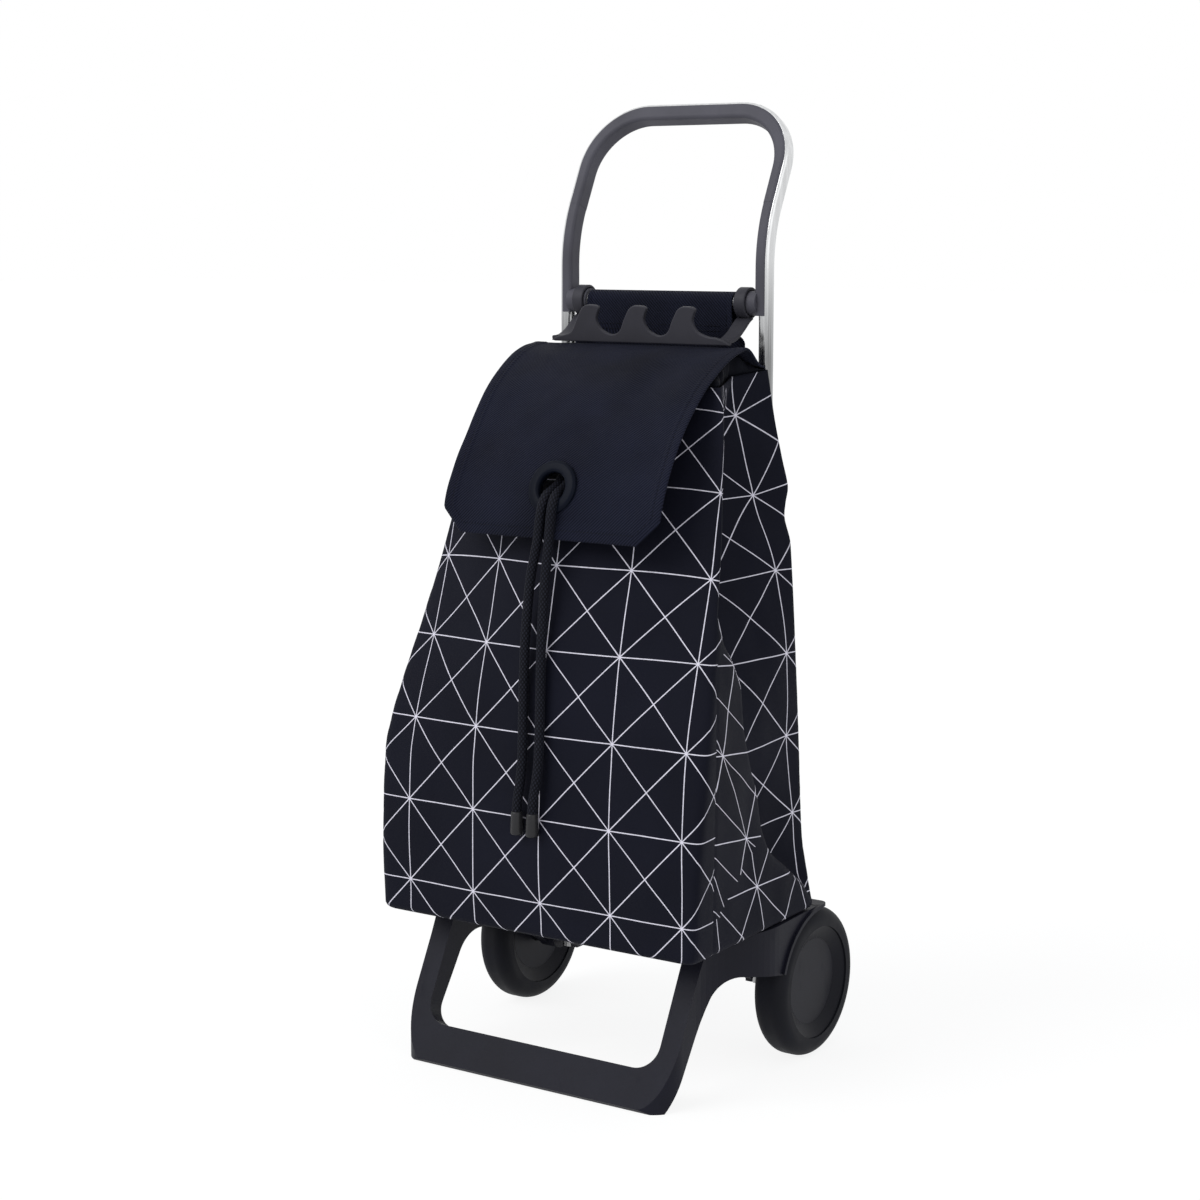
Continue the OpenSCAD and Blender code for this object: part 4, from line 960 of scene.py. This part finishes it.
def collar_point(rim, turn, f, room, mouth, share):
    """Point of the collar inside a point of the bag's rim, turn radians round it, by a row of COLLAR."""
    place, high = rim[:2], rim[2]
    a = math.atan2((place - COLLAR_MIDDLE)[1] / RIM_HALF[1], place[0] / RIM_HALF[0])
    way = np.array([math.cos(a), math.sin(a)])
    k = (np.abs(way) ** MOUTH_POWER).sum() ** (-1 / MOUTH_POWER)
    edge = place - COLLAR_IN * (1 - 2 * min(0, room)) * unit(place - COLLAR_MIDDLE)
    spot = edge * (1 - f) + (COLLAR_MIDDLE + k * way * MOUTH_HALF) * f
    wander = noise.noise(Vector((*(2.2 * way), 4.0)))
    wave = math.cos(PLEATS * turn + 2.6 * wander + 5 * f) * (1 + 0.6 * noise.noise(Vector((*(3 * way), 9.0))))
    wave += 0.3 * math.cos(FINE_PLEATS * turn + 3 * wander + 4 * f)
    spot = spot + unit(spot - COLLAR_MIDDLE) * 2.6 * share * wave
    top = under_flap(*spot) - 0.9 * share * (1 - wave)
    hung = min(high + (top - high) * room, top) if room > 0 else high + 16 * room
    drawn = BAG_LOW + BAG_H + MOUTH_RISE * mouth
    blend = 1.0 if f > 0.8 else fade(0, 1, mouth)
    return *spot, min(hung * (1 - blend) + drawn * blend, under_flap(*spot) if room > 0 else high)


def add_collar():
    rim = bag_ring(BAG_H)
    at = run_length(ring_of(rim))
    round_at = 2 * math.pi * (at[:-1] / at[-1])
    rings = np.array([[collar_point(p, turn, *shares) for p, turn in zip(rim, round_at)] for shares in COLLAR])
    made = solid("gathered_collar", row(rings.reshape(-1, 3)), grid_faces(len(rings), len(rim), True), LINING)
    girth = max(run_length(ring_of(ring))[-1] for ring in rings)
    deep = max(run_length(rings[:, k])[-1] for k in range(0, len(rim), 8))
    sew(made, COLLAR_CLOTH, girth, deep, held="gathered", rests_on=["bag_shell"])
    seat(made, "frame", "lining_fabric", "bag_collar")


# Hanger: cloth sewn round the crossbar, hanging down behind the bag
BAR_Y, BAR_Z, BAR_R = -2.0, 796.0, 11.5
HANGER_Y = BAR_Y - BAR_R
HANGER_LOW = 686.0
HANGER_HALF = 91.0
HANGER_FLARE = 16.0
HANGER_CLOTH = 1.5
HANGER_SEAM = 6.5
SEAM_Z = (772.0, 766.5)
EDGE_SEAM_Z = (690.0, 790.0)
REAR_SEAM_Z = (690.0, 695.0)
SEAM_ENDS = 8.0
FRONT_RUN, SEWN_RUN = 110, 150  # length of cloth before the bar, and as far as the edges are sewn


def hanger_profile():
    """Depth and height from the lower edge up the front, round the bar and down behind it to the seam."""
    points = [(HANGER_Y, z) for z in np.linspace(HANGER_LOW, 790, 36)]
    points += [(BAR_Y - BAR_R * math.cos(a), BAR_Z + BAR_R * math.sin(a))
               for a in np.linspace(0, math.pi * 1.18, 30)]
    points += [(BAR_Y + 3.0, 781.0), (BAR_Y - 5.6, 775.0), (HANGER_Y + 2.2, 768.0), (HANGER_Y + 2.2, 758.0)]
    return resample(points, 90)


def hanger_threads():
    """Two rows below the bar, one down each edge, and two along the foot behind."""
    front, edge = np.array([0, -1.0, 0]), HANGER_HALF - HANGER_SEAM
    across = HANGER_HALF - SEAM_ENDS
    wide = across + HANGER_FLARE
    lines = [[((x, HANGER_Y - 0.2, z), front) for x in (-across, across)] for z in SEAM_Z]
    lines += [[((x, HANGER_Y - 0.1, z), front) for z in EDGE_SEAM_Z] for x in (-edge, edge)]
    lines += [[((x, HANGER_Y + 1.6, z), -front) for x in (-wide, wide)] for z in REAR_SEAM_Z]
    return stitches("hanger_stitching", lines)


def add_hanger():
    profile = hanger_profile()
    along = run_length(profile)
    edges = [side * (HANGER_HALF - inset) for side in (-1, 1) for inset in (1, 6, 7)]
    xs = np.unique(np.concatenate([np.linspace(-HANGER_HALF, HANGER_HALF, 60), edges]))
    verts, uv = [], []
    for (y, z), s in zip(profile, along):
        slack = fade(786, 760, z) * fade(722, 745, z) * (s < FRONT_RUN)
        wide = 1 + HANGER_FLARE / HANGER_HALF * fade(772, 754, z)
        for x in xs:
            push = (0.9 * ripple((x, 0, z), 46, 7.0) + 0.5 * ripple((x, 0, z * 0.5), 18, 3.0)) * slack
            sewn = fade(1.2, 0, abs(HANGER_HALF - abs(x) - HANGER_SEAM)) * (s < SEWN_RUN)
            verts.append((x * wide, y - push + 0.5 * sewn, z))
            uv.append((x * MM, s * MM))
    faces = grid_faces(len(profile), len(xs))
    made = solid("hanger_cloth", row(verts), faces, TWILL, [uv[k] for f in faces for k in f])
    tidy(made, (0, -1, 0.2))
    thread = hanger_threads()
    sew(made, HANGER_CLOTH, 2 * (HANGER_HALF + HANGER_FLARE), along[-1], held="hung", rests_on=["crossbar"],
        with_pieces=[thread])
    seat(made, "frame", "twill_fabric", "hanger_panel")
    seat(thread, "frame", "twill_fabric")


# Hook rack: one moulding of a plate with three hooks, and two arms that sweep back to clips round the sockets
HOOK_PITCH = 60
HOOK = [(-33.2, 8.5), (-22.8, 12.3), (-15.8, 24.3), (-8.9, 34.8), (-4.5, 38.5), (-0.2, 40), (8.5, 39.8),
        (12.6, 38.6), (14.1, 36), (11.4, 30.3), (9.4, 24.3), (11.4, 17.5), (16.4, 12.3)]
RACK_LEFT = [(-108, 0.4), (-110.5, 1.4), (-103, 5), (-93, 7.2), (-84, 11)]
RACK_RIGHT = [(86.8, 8.6), (95, 7.8), (104, 5.6), (110.5, 2.4), (113, 0.6)]
RACK_LOWER = [(112, 0), (-107, 0)]
RACK_THICK, RACK_EDGE = 5.0, 1.3
RACK_Y, RACK_Z = -48.0, 754.0
RACK_LEAN = math.radians(98)
RACK_CURL = 0.0012
ARM_X, ARM_WIDE, ARM_THICK = 102.0, 18.0, 4.6
ARM_PATH = [(-51, 757.2), (-46, 757.4), (-38, 759), (-28, 763.6), (-18, 770.6), (-10, 776.8),
            (-3, 780.6)]
CLIP_WIDE = 13.0
CLIP = [(12.8, 0), (15.5, 0), (16.4, 0.9), (16.4, 12.1), (15.5, CLIP_WIDE), (12.8, CLIP_WIDE)]


def plate_mesh(outline, thick, edge):
    """A flat moulding in the plane of outline, with rounded edges."""
    curve = bpy.data.curves.new("plate", "CURVE")
    curve.dimensions = "2D"
    curve.fill_mode = "BOTH"
    curve.extrude = (thick / 2 - edge) * MM
    curve.bevel_depth = edge * MM
    curve.bevel_resolution = 3
    curve.offset = -edge * MM
    line = curve.splines.new("POLY")
    line.points.add(len(outline) - 1)
    for point, (x, y) in zip(line.points, outline * MM):
        point.co = (x, y, 0, 1)
    line.use_cyclic_u = True
    held = linked("plate", curve)
    mesh = as_mesh(held)
    bpy.data.objects.remove(held)
    return mesh


def rack_plate():
    """The plate with its hooks, leaning and a little curled."""
    hooks = [(x + turn * HOOK_PITCH, h) for turn in (-1, 0, 1) for x, h in HOOK][2:]
    upper = through(RACK_LEFT + hooks + RACK_RIGHT, 5)
    mesh = plate_mesh(np.vstack([upper, RACK_LOWER])[::-1], RACK_THICK, RACK_EDGE)
    c, s = math.cos(RACK_LEAN), math.sin(RACK_LEAN)
    for v in mesh.vertices:
        x, h, t = (k / MM for k in v.co)
        t += 2.0 + RACK_CURL * h * h
        v.co = row((x, RACK_Y + h * c - t * s, RACK_Z + h * s + t * c))
    return mesh


def rack_arm(x, sides=32):
    """A flat bar with rounded edges along ARM_PATH."""
    path = resample(through(ARM_PATH, 8), 40)
    ahead = unit(np.gradient(path, axis=0))
    c, s = np.cos(turns(sides)), np.sin(turns(sides))
    wide = np.sign(c) * np.abs(c) ** 0.35 * ARM_WIDE / 2
    deep = np.sign(s) * np.abs(s) ** 0.5 * ARM_THICK / 2
    verts = [(x + w, y - way_z * d, z + way_y * d)
             for (y, z), (way_y, way_z) in zip(path, ahead) for w, d in zip(wide, deep)]
    return solid("arm", row(verts), tube_faces(len(path), sides), RACK)


def add_rack():
    mesh = rack_plate()
    whole = bmesh.new()
    whole.from_mesh(mesh)
    for x in (-ARM_X, ARM_X):
        clip = lathe("clip", CLIP, (x - CLIP_WIDE / 2, BAR_Y, BAR_Z), (1, 0, 0), RACK, ring=True)
        for part in (rack_arm(x), clip):
            whole.from_mesh(part.data)
            bpy.data.objects.remove(part)
    bmesh.ops.recalc_face_normals(whole, faces=whole.faces[:])
    whole.to_mesh(mesh)
    whole.free()
    made = shown("hook_rack", mesh, RACK)
    made.modifiers.new("even", "WEIGHTED_NORMAL")
    seat(made, "frame", "rack_plastic", "bag_hook_rack")


# Stage: pale floor, white surroundings, soft lamps
WHITE = (1, 1, 1, 1)
SKY = (0.96, 0.98, 1.0, 1)
SKY_LIGHT = 0.6
FLOOR_HALF = 30
FLOOR_COLOR = (0.93, 0.93, 0.93, 1)
FLOOR_GLOW, GLOW_SHARE = 1.08, 0.8
# Place, power and spread in degrees
LAMPS = {"key": ((-1.3, -2.2, 2.4), 1.25, 38), "fill": ((2.4, -1.0, 1.2), 0.35, 60)}
LAMP_AIM = Vector((0, 0, 0.4))


def add_stage():
    scene.world = bpy.data.worlds.new("studio")
    sky = Shader(scene.world, "OutputWorld")
    lit = sky.add("Background", Color=SKY, Strength=SKY_LIGHT)
    seen = sky.add("Background", Color=WHITE, Strength=1.0)
    sky.show(sky.either(sky.direct_rays(), lit, seen))

    ground = Shader(bpy.data.materials.new("floor"), "OutputMaterial")
    pale = ground.add("BsdfDiffuse", Color=FLOOR_COLOR)
    glow = ground.add("Emission", Strength=FLOOR_GLOW)
    ground.show(ground.either(ground.direct_rays(), pale, ground.either(GLOW_SHARE, pale, glow)))
    corners = [(x * FLOOR_HALF, y * FLOOR_HALF, 0) for x, y in ((-1, -1), (1, -1), (1, 1), (-1, 1))]
    floor = solid("floor", corners, [(0, 1, 2, 3)], ground)

    for name, (place, power, spread) in LAMPS.items():
        lamp = bpy.data.lights.new(name, "SUN")
        lamp.energy = power
        lamp.angle = math.radians(spread)
        held = linked(name, lamp)
        held.location = place
        held.rotation_euler = (LAMP_AIM - Vector(place)).to_track_quat("-Z", "Y").to_euler()


for add in (add_cords, add_bag, add_board, add_collar, add_flap, add_eyelet, add_hanger, add_rack, add_stage):
    add()
